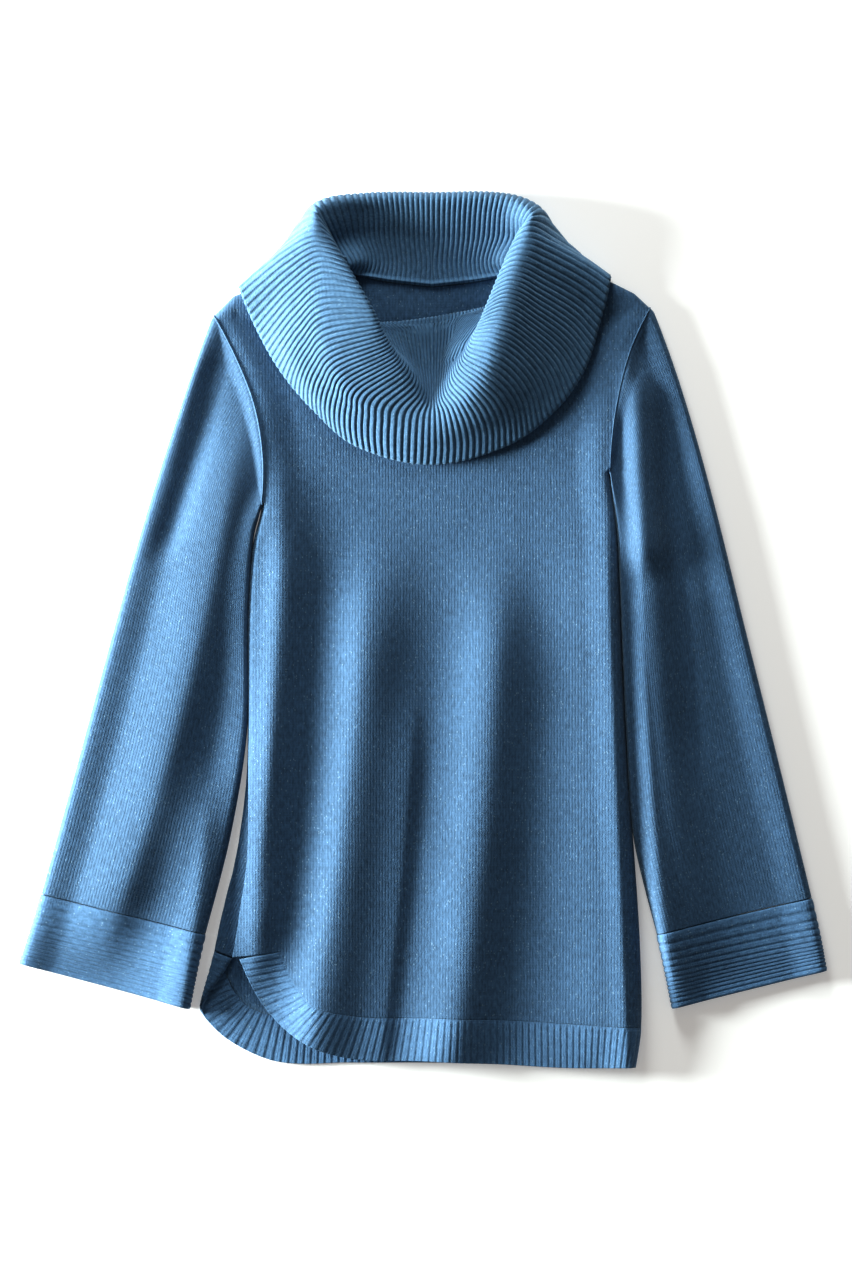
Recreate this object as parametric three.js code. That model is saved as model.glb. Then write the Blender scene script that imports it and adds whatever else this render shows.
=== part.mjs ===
// Tunic sweater with a folded cowl collar, laid flat on its back.
// Millimetres. +Z is up, +Y runs from hem to neck, +X is the wearer's left.
import * as THREE from 'three';

const { lerp, clamp } = THREE.MathUtils;

// Cloth
const CLOTH = 2.2; // plain knit wall
const RIB_CLOTH = 3.0; // wall of the collar, without its ribs
const SEAM_GAP = 0.3;
const HALF_GAP = SEAM_GAP / 2;

// Heights of the laid garment
const EDGE_Z = 12; // top of the cloth where it rolls over at an edge
const BASE_Z = 7.5; // top of the cloth where the front lies on the back
const LOWEST_TOP = 5.4; // two walls and a little air
const EDGE_SPREAD = 34; // distance over which the top falls from edge to base
const ROLL = 6; // radius of the rolled edges
const QUARTER_SLACK = Math.PI / 2 - 1; // cloth that a rolled edge takes up, by its radius
const LEAST_ROLL = 0.02;
const SHOULDER_TRIM = 0.06;

// Neck
const CENTRE_X = 8;
const NECK_HALF_WIDTH = 80;
const NECK_TOP_Y = 331;
const NECK_DEPTH = 129;
const NECK_STEP_Y = 200; // how far the shoulder line climbs over the open neck

// Ribs and ridges
const COLLAR_RIBS = 88;
const COLLAR_RISE = 1.0;
const BAND_PITCH = 6.7;
const BAND_RISE = 0.9;
const BACK_BAND_SEEN = 0.34; // share of the back band that shows at the vent, with its ribs
const BACK_BAND_SPANS = 9;
const CUFF_RIDGES = 12;
const CUFF_RISE = 1.0;
const GROUND_CLEAR = 0.2; // ribs are flat below this height and full above the next
const RIBS_FULL = 4;
const RIB_START = 0.1; // share of a band's width over which its ribs rise from the seam
const COLLAR_RIB_START = 0.6;

// The back lies on the hidden part of the collar here
const COLLAR_LIFT = 3.3;
const COLLAR_BACK_Y = 280;
const COLLAR_BACK_CURVE = 26;
const COLLAR_HALF_WIDTH = 171;
const COLLAR_LIFT_START = 40;
const COLLAR_LIFT_END = 15;
const COLLAR_LIFT_SIDE = 178;
const SHOULDER_REACH = 192;

// Side edges of the body, hem to shoulder tip
const LEFT_EDGE = [
  { y: -400, x: -215 }, { y: -356, x: -204 }, { y: -331, x: -199 }, { y: -294, x: -189 },
  { y: -252, x: -180 }, { y: -200, x: -167.5 }, { y: -130, x: -158.5 }, { y: -50, x: -157.5 },
  { y: 20, x: -157 }, { y: 75, x: -153 }, { y: 110, x: -145 }, { y: 154, x: -143 },
  { y: 201, x: -150 }, { y: 243, x: -166 }, { y: 283, x: -187 }, { y: 300, x: -198 },
];
const RIGHT_EDGE = [
  { y: -400, x: 190 }, { y: -357, x: 196 }, { y: -285, x: 195 }, { y: -205, x: 190 },
  { y: -135, x: 184.5 }, { y: -50, x: 180 }, { y: 30, x: 177 }, { y: 95, x: 174 },
  { y: 140, x: 168 }, { y: 171, x: 169 }, { y: 207, x: 174 }, { y: 252, x: 185.4 },
  { y: 290, x: 203 }, { y: 306, x: 212 },
];
const UNDERARM_LEFT_Y = 110;
const UNDERARM_RIGHT_Y = 140;
const TIP_LEFT_Y = 283;
const TIP_RIGHT_Y = 290;
const HEM_LEFT_Y = -294;
const HEM_RIGHT_Y = -357;

// Shoulder line seen from above; it climbs steeply over the open neck
const SHOULDER = [
  { x: -211, y: 227 }, { x: -187, y: 283 }, { x: -170, y: 300 }, { x: -150, y: 307 },
  { x: -72, y: NECK_TOP_Y }, { x: CENTRE_X, y: NECK_TOP_Y + NECK_STEP_Y }, { x: 88, y: NECK_TOP_Y },
  { x: 150, y: 317 }, { x: 170, y: 312 }, { x: 190, y: 302 }, { x: 203, y: 290 }, { x: 223, y: 262 },
];

// Left half of the neck seam, by collar rib from the centre back
const NECK = [
  { rib: 0, x: 8, y: 308 }, { rib: 7, x: -38, y: 313.5 }, { rib: 12, x: -66, y: 322.5 },
  { rib: 14, x: -72, y: 331 }, { rib: 15.5, x: -70.2, y: 322 }, { rib: 20, x: -63.5, y: 294 },
  { rib: 25, x: -56, y: 260 }, { rib: 30, x: -40, y: 232 }, { rib: 36, x: -19, y: 210.5 },
  { rib: 44, x: 8, y: 202 },
];
const SHOULDER_RIB = 14;
const HIGH_POINT_X = 88;
const NECK_START = 0.3; // shares of a panel's upper edge where the neck begins and ends
const NECK_END = 0.705;
const FRONT_NECK_SPANS = 20;
const NECK_BIAS = 0.62; // the front neck seam falls steeply from the shoulder
const BACK_NECK_SPANS = 8;

// The left side seam lies on top near the vent and reaches the edge higher up
const SIDE_INSET = 21;
const SIDE_INSET_TOP_Y = -60;

// Hem seam and free edge of each band, from the vent to the other side
const FRONT_BAND = [
  { seamX: -128.7, seamY: -288.9, edgeX: -164.7, edgeY: -295.2 },
  { seamX: -118.8, seamY: -311.4, edgeX: -153.9, edgeY: -319.5 },
  { seamX: -109.8, seamY: -325.8, edgeX: -141.3, edgeY: -340.2 },
  { seamX: -96.3, seamY: -338.4, edgeX: -119.7, edgeY: -361.8 },
  { seamX: -73.8, seamY: -344.7, edgeX: -90.9, edgeY: -378 },
  { seamX: -42.3, seamY: -348.3, edgeX: -52.2, edgeY: -386.1 },
  { seamX: 9.9, seamY: -348.3, edgeX: 6.3, edgeY: -387 },
  { seamX: 63, seamY: -350.1, edgeX: 63, edgeY: -389.7 },
  { seamX: 128.7, seamY: -353.7, edgeX: 128.7, edgeY: -393.3 },
  { seamX: 199.2, seamY: -357.5, edgeX: 193.8, edgeY: -392.6 },
];
const BACK_BAND = [
  { seamX: -180, seamY: -284, edgeX: -214, edgeY: -295 },
  { seamX: -178, seamY: -306, edgeX: -212, edgeY: -318 },
  { seamX: -170, seamY: -325, edgeX: -203, edgeY: -340 },
  { seamX: -155, seamY: -340, edgeX: -176, edgeY: -368 },
  { seamX: -125, seamY: -349, edgeX: -132, edgeY: -388 },
  { seamX: -67, seamY: -351, edgeX: -67, edgeY: -389 },
  { seamX: 0, seamY: -351, edgeX: 0, edgeY: -389 },
  { seamX: 63, seamY: -352, edgeX: 63, edgeY: -390 },
  { seamX: 128, seamY: -354, edgeX: 128, edgeY: -392 },
  { seamX: 199.2, seamY: -357.5, edgeX: 193.8, edgeY: -392.6 },
];
const VENT_SHARE_FRONT = 0.1; // share of the front's lower edge that lies above the band's end
const VENT_SHARE_BACK = 0.09;
const VENT_GAP = 2.6; // a band starts this far from the end of its seam

// Shares along a panel, from hem seam to shoulder
const UNDERARM_ALONG = 0.72;
const LOW_REACH = 0.25; // up to here the rows follow the hem
const HIGH_START = 0.5; // from here the rows bend towards the shoulder and neck

// Sleeve edges, from the armhole (0) to the cuff seam (1) and the cuff's free edge (2)
const SLEEVE_RIGHT = [
  { along: 0, outerX: -187, outerY: 283, innerX: -145, innerY: 110 },
  { along: 0.04, outerX: -191, outerY: 276.5, innerX: -147.5, innerY: 103 },
  { along: 0.2, outerX: -214.2, outerY: 211.5, innerX: -155.7, innerY: 76 },
  { along: 0.4, outerX: -250.2, outerY: 99, innerX: -158.9, innerY: 3 },
  { along: 0.6, outerX: -281.7, outerY: -13.5, innerX: -159.6, innerY: -90 },
  { along: 0.8, outerX: -312.3, outerY: -126, innerX: -172.8, innerY: -184.5 },
  { along: 1, outerX: -342.9, outerY: -236.7, innerX: -195.3, innerY: -272.7 },
  { along: 2, outerX: -362.7, outerY: -299.7, innerX: -209.7, innerY: -340.2 },
];
const SLEEVE_LEFT = [
  { along: 0, outerX: 203, outerY: 290, innerX: 168, innerY: 140 },
  { along: 0.04, outerX: 208.5, outerY: 283.2, innerX: 170, innerY: 128 },
  { along: 0.2, outerX: 233.1, outerY: 214.2, innerX: 176.4, innerY: 80 },
  { along: 0.4, outerX: 260.1, outerY: 119.7, innerX: 180.4, innerY: -9 },
  { along: 0.6, outerX: 289.8, outerY: 0, innerX: 185, innerY: -99 },
  { along: 0.8, outerX: 320.4, outerY: -122.4, innerX: 192.5, innerY: -184.5 },
  { along: 1, outerX: 349.2, outerY: -240.3, innerX: 209.7, innerY: -272.7 },
  { along: 2, outerX: 362.7, outerY: -306, innerX: 224.1, innerY: -340.2 },
];
const TIP_GAP = 0.6; // the sleeve stands off the body this far at the shoulder tip
const TIP_SHARE = 0.06;
const ARMHOLE_REACH = 0.35; // share of the sleeve over which the armhole curve fades
const SLEEVE_STATIONS = [0, 0.04, 0.1, 0.2, 0.32, 0.45, 0.58, 0.7, 0.82, 0.92, 1];
const SLEEVE_INSIDE = [0, 0.1, 0.32, 0.58, 0.82, 1];
const CUFF_SEAM = 0.005;
const CUFF_TOP_STATIONS = [0, 0.008, 0.03, 0.1, 0.32, 0.58, 0.81, 0.9, 0.97, 0.992, 1];

// Folds: top, middle and low end of each crest (rise > 0) or trough (rise < 0), and the half
// widths of its two slopes
const FOLDS = [
  { topX: -122, topY: 185, midX: -131, lowX: -152, lowY: -300, rise: 13, left: 17, right: 21 },
  { topX: -44, topY: 115, midX: -64, lowX: -104, lowY: -400, rise: 15, left: 26, right: 38 },
  { topX: -6, topY: -20, midX: -20, lowX: -42, lowY: -400, rise: 4, left: 20, right: 10 },
  { topX: 68, topY: 108, midX: 54, lowX: 20, lowY: -410, rise: 15, left: 34, right: 32 },
  { topX: 160, topY: 165, midX: 170, lowX: 181, lowY: -390, rise: 12, left: 52, right: 13 },
  { topX: -160, topY: 240, midX: -205, lowX: -283, lowY: -270, rise: 13, left: 40, right: 26 },
  { topX: -180, topY: 280, midX: -200, lowX: -234, lowY: 70, rise: -4, left: 12, right: 12 },
  { topX: -196, topY: -110, midX: -205, lowX: -222, lowY: -360, rise: 8, left: 34, right: 16 },
  { topX: 188, topY: 262, midX: 193, lowX: 197, lowY: 60, rise: 12, left: 12, right: 22 },
  { topX: 196, topY: 150, midX: 203, lowX: 222, lowY: -310, rise: 14, left: 14, right: 42 },
  { topX: 214, topY: 240, midX: 226, lowX: 242, lowY: -120, rise: -4, left: 12, right: 12 },
];
const FOLD_FADE = 0.3; // share of a fold's length over which it rises from nothing

// Collar sections by rib. Each is a curve from the neck seam to the free edge through these
// points of its visible face. The lean is the angle of the stand to the inward direction, and
// the dip is how far the hollow behind the brow lies below it.
const COLLAR = [
  { rib: 0, lean: 180, crest: [8, 350, 9], dip: 0, brow: [8, 374, 17], ridge: [8, 387, 20],
    roll: [8, 391.5, 9], fall: [8, 377, 0], edge: [8, 280, 0] },
  { rib: 9, lean: 175, crest: [-52, 352, 10], dip: 0, brow: [-54, 374, 19], ridge: [-57, 386, 23],
    roll: [-59, 390.5, 10], fall: [-61, 377, 0], edge: [-86, 287, 0] },
  { rib: 13, lean: 125, crest: [-77, 345, 18], dip: 0, brow: [-88, 366, 33], ridge: [-94, 377, 36],
    roll: [-100, 379, 19], fall: [-110, 352, 0], edge: [-132, 296, 0] },
  { rib: 14.9, lean: 100, crest: [-72, 331, 21], dip: 0, brow: [-85, 354, 37], ridge: [-98, 361, 41],
    roll: [-119, 349, 24], fall: [-142, 328, 3], edge: [-160, 305, 0] },
  { rib: 16.3, lean: 92, crest: [-68, 320, 24], dip: 0, brow: [-81, 346, 38], ridge: [-99, 350, 44],
    roll: [-123, 338, 33], fall: [-148, 320, 21], edge: [-164.5, 306, 15.5] },
  { rib: 20, lean: 88, crest: [-61, 300, 24], dip: 0, brow: [-66, 320, 37], ridge: [-92, 325, 45],
    roll: [-118, 307, 36], fall: [-138, 287, 21], edge: [-151, 273, 12] },
  { rib: 25, lean: 65, crest: [-48, 272, 23], dip: 0, brow: [-47, 286, 37], ridge: [-89, 284, 45],
    roll: [-109, 265, 36], fall: [-121, 248, 23], edge: [-129, 234, 12] },
  { rib: 30, lean: 30, crest: [-38, 281, 18], dip: 5, brow: [-36, 261, 32], ridge: [-80, 246, 43],
    roll: [-94, 230, 35], fall: [-100, 214, 23], edge: [-100, 199, 12] },
  { rib: 36, lean: 8, crest: [-14, 280, 15], dip: 6, brow: [-20, 237, 30], ridge: [-56, 213, 37],
    roll: [-61, 196, 31], fall: [-62, 180, 21], edge: [-60, 165, 12] },
  { rib: 44, lean: 0, crest: [8, 280, 15], dip: 3, brow: [9, 207, 24], ridge: [9, 192, 27],
    roll: [9, 177, 25], fall: [9, 162, 18], edge: [8, 148.5, 12] },
  { rib: 52, lean: 8, crest: [31, 283, 15], dip: 6, brow: [33, 237, 31], ridge: [50, 222, 39],
    roll: [66, 206, 32], fall: [75, 188, 21], edge: [77, 166, 12] },
  { rib: 58, lean: 30, crest: [54, 291, 19], dip: 5, brow: [46, 264, 33], ridge: [66, 262, 42],
    roll: [89, 248, 33], fall: [108, 226, 22], edge: [119, 197, 12] },
  { rib: 63, lean: 65, crest: [64, 272, 24], dip: 0, brow: [55, 284, 37], ridge: [75, 292, 44],
    roll: [100, 278, 34], fall: [127, 258, 21], edge: [145, 233, 12] },
  { rib: 68, lean: 88, crest: [76, 301, 25], dip: 0, brow: [68, 316, 38], ridge: [84, 322, 44],
    roll: [108, 311, 35], fall: [139, 294, 21], edge: [159, 276, 12] },
  { rib: 71.7, lean: 92, crest: [84, 320, 25], dip: 0, brow: [80, 344, 38], ridge: [94, 350, 43],
    roll: [116, 342, 34], fall: [146, 327, 22], edge: [168, 313, 16] },
  { rib: 73.1, lean: 100, crest: [88, 331, 22], dip: 0, brow: [85, 354, 37], ridge: [97, 361, 41],
    roll: [117, 352, 24], fall: [144, 336, 3], edge: [165, 318, 0] },
  { rib: 75, lean: 125, crest: [92, 345, 18], dip: 0, brow: [91, 364, 33], ridge: [98, 373, 36],
    roll: [107, 376, 19], fall: [118, 352, 0], edge: [140, 299, 0] },
  { rib: 79, lean: 175, crest: [68, 352, 10], dip: 0, brow: [70, 374, 19], ridge: [73, 386, 23],
    roll: [75, 390.5, 10], fall: [77, 377, 0], edge: [102, 288, 0] },
];
const DIP_PLACE = 0.6; // where the hollow lies between crest and brow
const STAND_SHARE = 0.45; // how far the stand keeps its lean
const COLLAR_REST = RIB_CLOTH + 0.7; // height of the collar's face over the front it lies on

const COLLAR_RIDGE_PLACE = 4.5; // past this the collar lies outside, on the front
const COLLAR_OVER_FIRST = 17;
const COLLAR_OVER_LAST = 72;
const COLLAR_STATIONS = [0, 1, 2, 2.5, 3, 4, 4.7, 5.4, 6.1, 7, 8];
const SEAM_MID_FRONT = EDGE_Z - RIB_CLOTH / 2;
const SEAM_MID_BACK = COLLAR_LIFT + RIB_CLOTH / 2;
const NECK_GAP = 0.9;
const SEAM_HUMP = 5.4; // rise of the neck seam where it climbs from the back to the shoulder

const PLAIN_BLUE = 0x5f8ab8;
const BAND_BLUE = 0x5a84b0;
const COLLAR_BLUE = 0x6492c0;
const KNIT_ROUGHNESS = 0.95;

const STEP = 1e-4; // step for the slopes of a surface

// Small sums
function step(value, low, high) {
  const share = clamp((value - low) / (high - low), 0, 1);
  return share * share * (3 - 2 * share);
}

function evenly(count, from = 0, to = 1) {
  return Array.from({ length: count + 1 }, (_, i) => lerp(from, to, i / count));
}

// A smooth curve through a table's rows: every other column as a function of the key column
function curveThrough(rows, key) {
  const names = Object.keys(rows[0]).filter((name) => name !== key);
  const slope = (i, name) => {
    const before = rows[Math.max(i - 1, 0)];
    const after = rows[Math.min(i + 1, rows.length - 1)];
    return (after[name] - before[name]) / (after[key] - before[key]);
  };
  return (at) => {
    let i = 0;
    while (i < rows.length - 2 && at > rows[i + 1][key]) i += 1;
    const start = rows[i];
    const end = rows[i + 1];
    const span = end[key] - start[key];
    const s = clamp((at - start[key]) / span, 0, 1);
    const result = {};
    for (const name of names) {
      const rise = s * s * (3 - 2 * s);
      const leave = s * (1 - s) * (1 - s) * span * slope(i, name);
      const arrive = s * s * (s - 1) * span * slope(i + 1, name);
      result[name] = lerp(start[name], end[name], rise) + leave + arrive;
    }
    return result;
  };
}

// Straight lines through a table's rows
function linesThrough(rows, key, name) {
  return (at) => {
    let i = 0;
    while (i < rows.length - 2 && at > rows[i + 1][key]) i += 1;
    const share = (at - rows[i][key]) / (rows[i + 1][key] - rows[i][key]);
    return lerp(rows[i][name], rows[i + 1][name], clamp(share, 0, 1));
  };
}

// Closed bodies
function skin(rowCount, columnCount, closed, indexAt, flipped) {
  const triangles = [];
  const spans = closed ? columnCount : columnCount - 1;
  for (let row = 0; row < rowCount - 1; row += 1) {
    for (let column = 0; column < spans; column += 1) {
      const a = indexAt(row, column);
      const b = indexAt(row, column + 1);
      const c = indexAt(row + 1, column + 1);
      const d = indexAt(row + 1, column);
      triangles.push(...(flipped ? [a, c, b, a, d, c] : [a, b, c, a, c, d]));
    }
  }
  return triangles;
}

// Joins two edges span by span, in the order of the middles of their spans
function rim(outer, inner) {
  const middle = (edge, i) => (i + 1 < edge.length ? edge[i].station + edge[i + 1].station : Infinity);
  const triangles = [];
  let i = 0;
  let j = 0;
  while (i < outer.length - 1 || j < inner.length - 1) {
    if (middle(outer, i) <= middle(inner, j)) {
      triangles.push(outer[i + 1].index, outer[i].index, inner[j].index);
      i += 1;
    } else {
      triangles.push(outer[i].index, inner[j].index, inner[j + 1].index);
      j += 1;
    }
  }
  return triangles;
}

function backwards(edge) {
  return edge.map(({ index, station }) => ({ index, station: -station })).reverse();
}

// A grid of points with its stations. Rows run along the piece, columns across or round it.
function gridOf(across, along, firstIndex, pointAt) {
  const points = along.flatMap((v) => across.map((u) => pointAt(u, v)));
  const indexAt = (row, column) => firstIndex + row * across.length + (column % across.length);
  const rowEdge = (row, period) => {
    const edge = across.map((station, column) => ({ index: indexAt(row, column), station }));
    return period ? [...edge, { index: indexAt(row, 0), station: across[0] + period }] : edge;
  };
  const sideEdge = (column) => along.map((station, row) => ({ index: indexAt(row, column), station }));
  return { points, indexAt, rowEdge, sideEdge, rows: along.length, columns: across.length };
}

// A wall between two grids; a closed one goes round and meets itself after one period
function wallBetween(outer, inner, period) {
  const triangles = [
    ...skin(outer.rows, outer.columns, period > 0, outer.indexAt, false),
    ...skin(inner.rows, inner.columns, period > 0, inner.indexAt, true),
    ...rim(outer.rowEdge(0, period), inner.rowEdge(0, period)),
    ...rim(
      backwards(outer.rowEdge(outer.rows - 1, period)),
      backwards(inner.rowEdge(inner.rows - 1, period)),
    ),
  ];
  if (!period) {
    triangles.push(
      ...rim(backwards(outer.sideEdge(0)), backwards(inner.sideEdge(0))),
      ...rim(outer.sideEdge(outer.columns - 1), inner.sideEdge(inner.columns - 1)),
    );
  }
  return solidOf([...outer.points, ...inner.points], triangles);
}

function solidOf(points, triangles) {
  let volume = 0;
  for (let i = 0; i < triangles.length; i += 3) {
    const [a, b, c] = triangles.slice(i, i + 3).map((index) => points[index]);
    volume += a.dot(b.clone().cross(c));
  }
  const facing = volume > 0 ? triangles : triangles.toReversed();
  const geometry = new THREE.BufferGeometry();
  geometry.setAttribute('position', new THREE.Float32BufferAttribute(
    points.flatMap((point) => point.toArray()), 3));
  geometry.setIndex(facing);
  geometry.computeVertexNormals();
  return geometry;
}

// Cloth on a surface: the outer points carry the relief, and the inner ones lie one wall inside
function clothOn(surface, { side = 1, thickness = CLOTH, period = 0, relief = () => 0,
  insideRelief = () => 0, across, along, insideAcross = across, insideAlong = along }) {
  const uEnds = period ? [-Infinity, Infinity] : [across[0], across.at(-1)];
  const vEnds = [along[0], along.at(-1)];
  const normalAt = (u, v) => {
    const near = (value, offset, ends) => clamp(value + offset, ends[0], ends[1]);
    const du = surface(near(u, STEP, uEnds), v).sub(surface(near(u, -STEP, uEnds), v));
    const dv = surface(u, near(v, STEP, vEnds)).sub(surface(u, near(v, -STEP, vEnds)));
    return du.cross(dv).normalize().multiplyScalar(side);
  };
  const outer = gridOf(across, along, 0, (u, v) => {
    return surface(u, v).addScaledVector(normalAt(u, v), relief(u, v));
  });
  const inner = gridOf(insideAcross, insideAlong, outer.points.length, (u, v) => {
    return surface(u, v).addScaledVector(normalAt(u, v), -thickness - insideRelief(u, v));
  });
  return wallBetween(outer, inner, period);
}

// Body edges and heights
const leftEdgeAt = curveThrough(LEFT_EDGE, 'y');
const rightEdgeAt = curveThrough(RIGHT_EDGE, 'y');
const leftEdge = (y) => leftEdgeAt(y).x;
const rightEdge = (y) => rightEdgeAt(y).x;
const shoulderY = linesThrough(SHOULDER, 'x', 'y');

// Height of a rolled edge as a share, by the distance from the edge
function rollShare(distance) {
  return Math.sqrt(1 - (1 - clamp(distance / ROLL, 0, 1)) ** 2);
}

// How far the side has opened above the underarm, where the roll ends
function openShare(y, underarmY) {
  return step(y, underarmY, underarmY + ROLL);
}

// Distance to the shoulder line, measured square to it
function shoulderDepth(x, y) {
  const reach = 1;
  const slope = (shoulderY(x + reach) - shoulderY(x - reach)) / (2 * reach);
  return (shoulderY(x) - y) / Math.hypot(1, slope);
}

function neckDistance(x, y) {
  const across = (x - CENTRE_X) / NECK_HALF_WIDTH;
  const down = Math.min(y - NECK_TOP_Y, 0) / NECK_DEPTH;
  return Math.max(0, (Math.hypot(across, down) - 1) * NECK_HALF_WIDTH);
}

function foldHeight(x, y) {
  let height = 0;
  for (const fold of FOLDS) {
    const s = (fold.topY - y) / (fold.topY - fold.lowY);
    const bow = 4 * s * (1 - s) * (fold.midX - (fold.topX + fold.lowX) / 2);
    const away = x - lerp(fold.topX, fold.lowX, s) - bow;
    const half = away < 0 ? fold.left : fold.right;
    const length = step(s, 0, FOLD_FADE) * (1 - step(s, 1 - FOLD_FADE / 3, 1 + FOLD_FADE / 3));
    height += fold.rise * length * Math.exp(-((away / half) ** 2));
  }
  return height;
}

function topHeight(x, y, fromEdge) {
  const base = lerp(EDGE_Z, BASE_Z, step(fromEdge, ROLL, EDGE_SPREAD));
  return Math.max(base + foldHeight(x, y), LOWEST_TOP);
}

function bodyTop(x, y) {
  const sides = Math.min(x - leftEdge(y), rightEdge(y) - x);
  return topHeight(x, y, Math.min(sides, shoulderDepth(x, y), neckDistance(x, y)));
}

function bodyBottom(x, y) {
  const edge = COLLAR_BACK_Y + COLLAR_BACK_CURVE * ((x - CENTRE_X) / COLLAR_HALF_WIDTH) ** 2;
  const sideways = 1 - step(Math.abs(x - CENTRE_X), COLLAR_LIFT_SIDE, SHOULDER_REACH);
  return COLLAR_LIFT * sideways * step(y, edge - COLLAR_LIFT_START, edge - COLLAR_LIFT_END);
}

// A point of the body. The flat x counts the cloth as if it were unrolled: past a side edge it
// goes round to the other side. The face is 1 for the front and -1 for the back.
function bodyPoint(flatX, y, face) {
  const openLeft = openShare(y, UNDERARM_LEFT_Y);
  const openRight = openShare(y, UNDERARM_RIGHT_Y);
  const leftRoll = Math.max(ROLL * (1 - openLeft), LEAST_ROLL);
  const rightRoll = Math.max(ROLL * (1 - openRight), LEAST_ROLL);
  const fromLeft = flatX - leftEdge(y) + leftRoll * QUARTER_SLACK;
  const fromRight = rightEdge(y) + rightRoll * QUARTER_SLACK - flatX;
  const isLeft = fromLeft < fromRight;
  const reach = isLeft ? fromLeft : fromRight;
  const roll = isLeft ? leftRoll : rightRoll;
  const turn = clamp(reach / roll, -Math.PI / 2, Math.PI / 2);
  const past = Math.max(Math.abs(reach) - roll * Math.PI / 2, 0);
  const inset = roll * (1 - Math.cos(turn)) + past;
  const x = isLeft ? leftEdge(y) + inset : rightEdge(y) - inset;
  const bottom = bodyBottom(x, y);
  const half = (bodyTop(x, y) - bottom) / 2;
  const rise = Math.max(Math.sin(turn), isLeft ? openLeft : openRight);
  const shoulder = rollShare(shoulderDepth(x, y));
  return new THREE.Vector3(x, y, bottom + half + face * half * rise * shoulder);
}

// The neck seam, by collar rib: a back and a front curve that meet at the shoulder
const neckBack = curveThrough(NECK.filter((row) => row.rib <= SHOULDER_RIB), 'rib');
const neckFront = curveThrough(NECK.filter((row) => row.rib >= SHOULDER_RIB), 'rib');
function neckAt(rib) {
  const wrapped = (rib + COLLAR_RIBS) % COLLAR_RIBS;
  const mirrored = wrapped > COLLAR_RIBS / 2;
  const half = mirrored ? COLLAR_RIBS - wrapped : wrapped;
  const point = half < SHOULDER_RIB ? neckBack(half) : neckFront(half);
  return { x: mirrored ? 2 * CENTRE_X - point.x : point.x, y: point.y };
}

// Crowds shares of a symmetric span towards its ends (power below 1) or its middle (above 1)
function biased(share, power) {
  const half = 0.5 * (2 * Math.min(share, 1 - share)) ** power;
  return share < 0.5 ? half : 1 - half;
}

// Upper edge of a panel, from one shoulder tip to the other, by its share from the left
function upperEdge(share, face) {
  if (share <= NECK_START) {
    const x = lerp(leftEdge(TIP_LEFT_Y) + HALF_GAP, 2 * CENTRE_X - HIGH_POINT_X, share / NECK_START);
    return { x, y: shoulderY(x) - SHOULDER_TRIM };
  }
  if (share >= NECK_END) {
    const x = lerp(HIGH_POINT_X, rightEdge(TIP_RIGHT_Y) - HALF_GAP, (share - NECK_END) / (1 - NECK_END));
    return { x, y: shoulderY(x) - SHOULDER_TRIM };
  }
  const part = (share - NECK_START) / (NECK_END - NECK_START);
  if (face < 0) return neckAt(lerp(SHOULDER_RIB, -SHOULDER_RIB, part));
  return neckAt(lerp(SHOULDER_RIB, COLLAR_RIBS - SHOULDER_RIB, biased(part, NECK_BIAS)));
}

// A band's seam and edge, by the share of the seam's length
function bandCurve(rows) {
  let length = 0;
  const measured = rows.map((row, i) => {
    if (i > 0) length += Math.hypot(row.seamX - rows[i - 1].seamX, row.seamY - rows[i - 1].seamY);
    return { ...row, length };
  });
  const at = curveThrough(measured, 'length');
  return { length, at: (share) => at(share * length) };
}
const frontBand = bandCurve(FRONT_BAND);
const backBand = bandCurve(BACK_BAND);

// A point between a band's seam (0) and its free edge (1), moved on by a small distance
function bandPoint(band, share, down, extra) {
  const { seamX, seamY, edgeX, edgeY } = band.at(share);
  const width = Math.hypot(edgeX - seamX, edgeY - seamY);
  const part = down + extra / width;
  return { x: lerp(seamX, edgeX, part), y: lerp(seamY, edgeY, part) };
}

// Side boundary of a panel in unrolled cloth: y by the share along the panel
function sideY(along, lowY, underarmY, tipY) {
  if (along < UNDERARM_ALONG) return lerp(lowY, underarmY, along / UNDERARM_ALONG);
  return lerp(underarmY, tipY, (along - UNDERARM_ALONG) / (1 - UNDERARM_ALONG));
}

function leftSide(along, face) {
  const y = sideY(along, HEM_LEFT_Y, UNDERARM_LEFT_Y, TIP_LEFT_Y);
  const open = openShare(y, UNDERARM_LEFT_Y);
  const inset = SIDE_INSET * step(y, SIDE_INSET_TOP_Y, HEM_LEFT_Y);
  const slack = ROLL * (1 - open) * QUARTER_SLACK;
  return { x: leftEdge(y) - slack + face * inset + HALF_GAP, y };
}

function rightSide(along) {
  const y = sideY(along, HEM_RIGHT_Y, UNDERARM_RIGHT_Y, TIP_RIGHT_Y);
  const slack = ROLL * (1 - openShare(y, UNDERARM_RIGHT_Y)) * QUARTER_SLACK;
  return { x: rightEdge(y) + slack - HALF_GAP, y };
}

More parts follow.
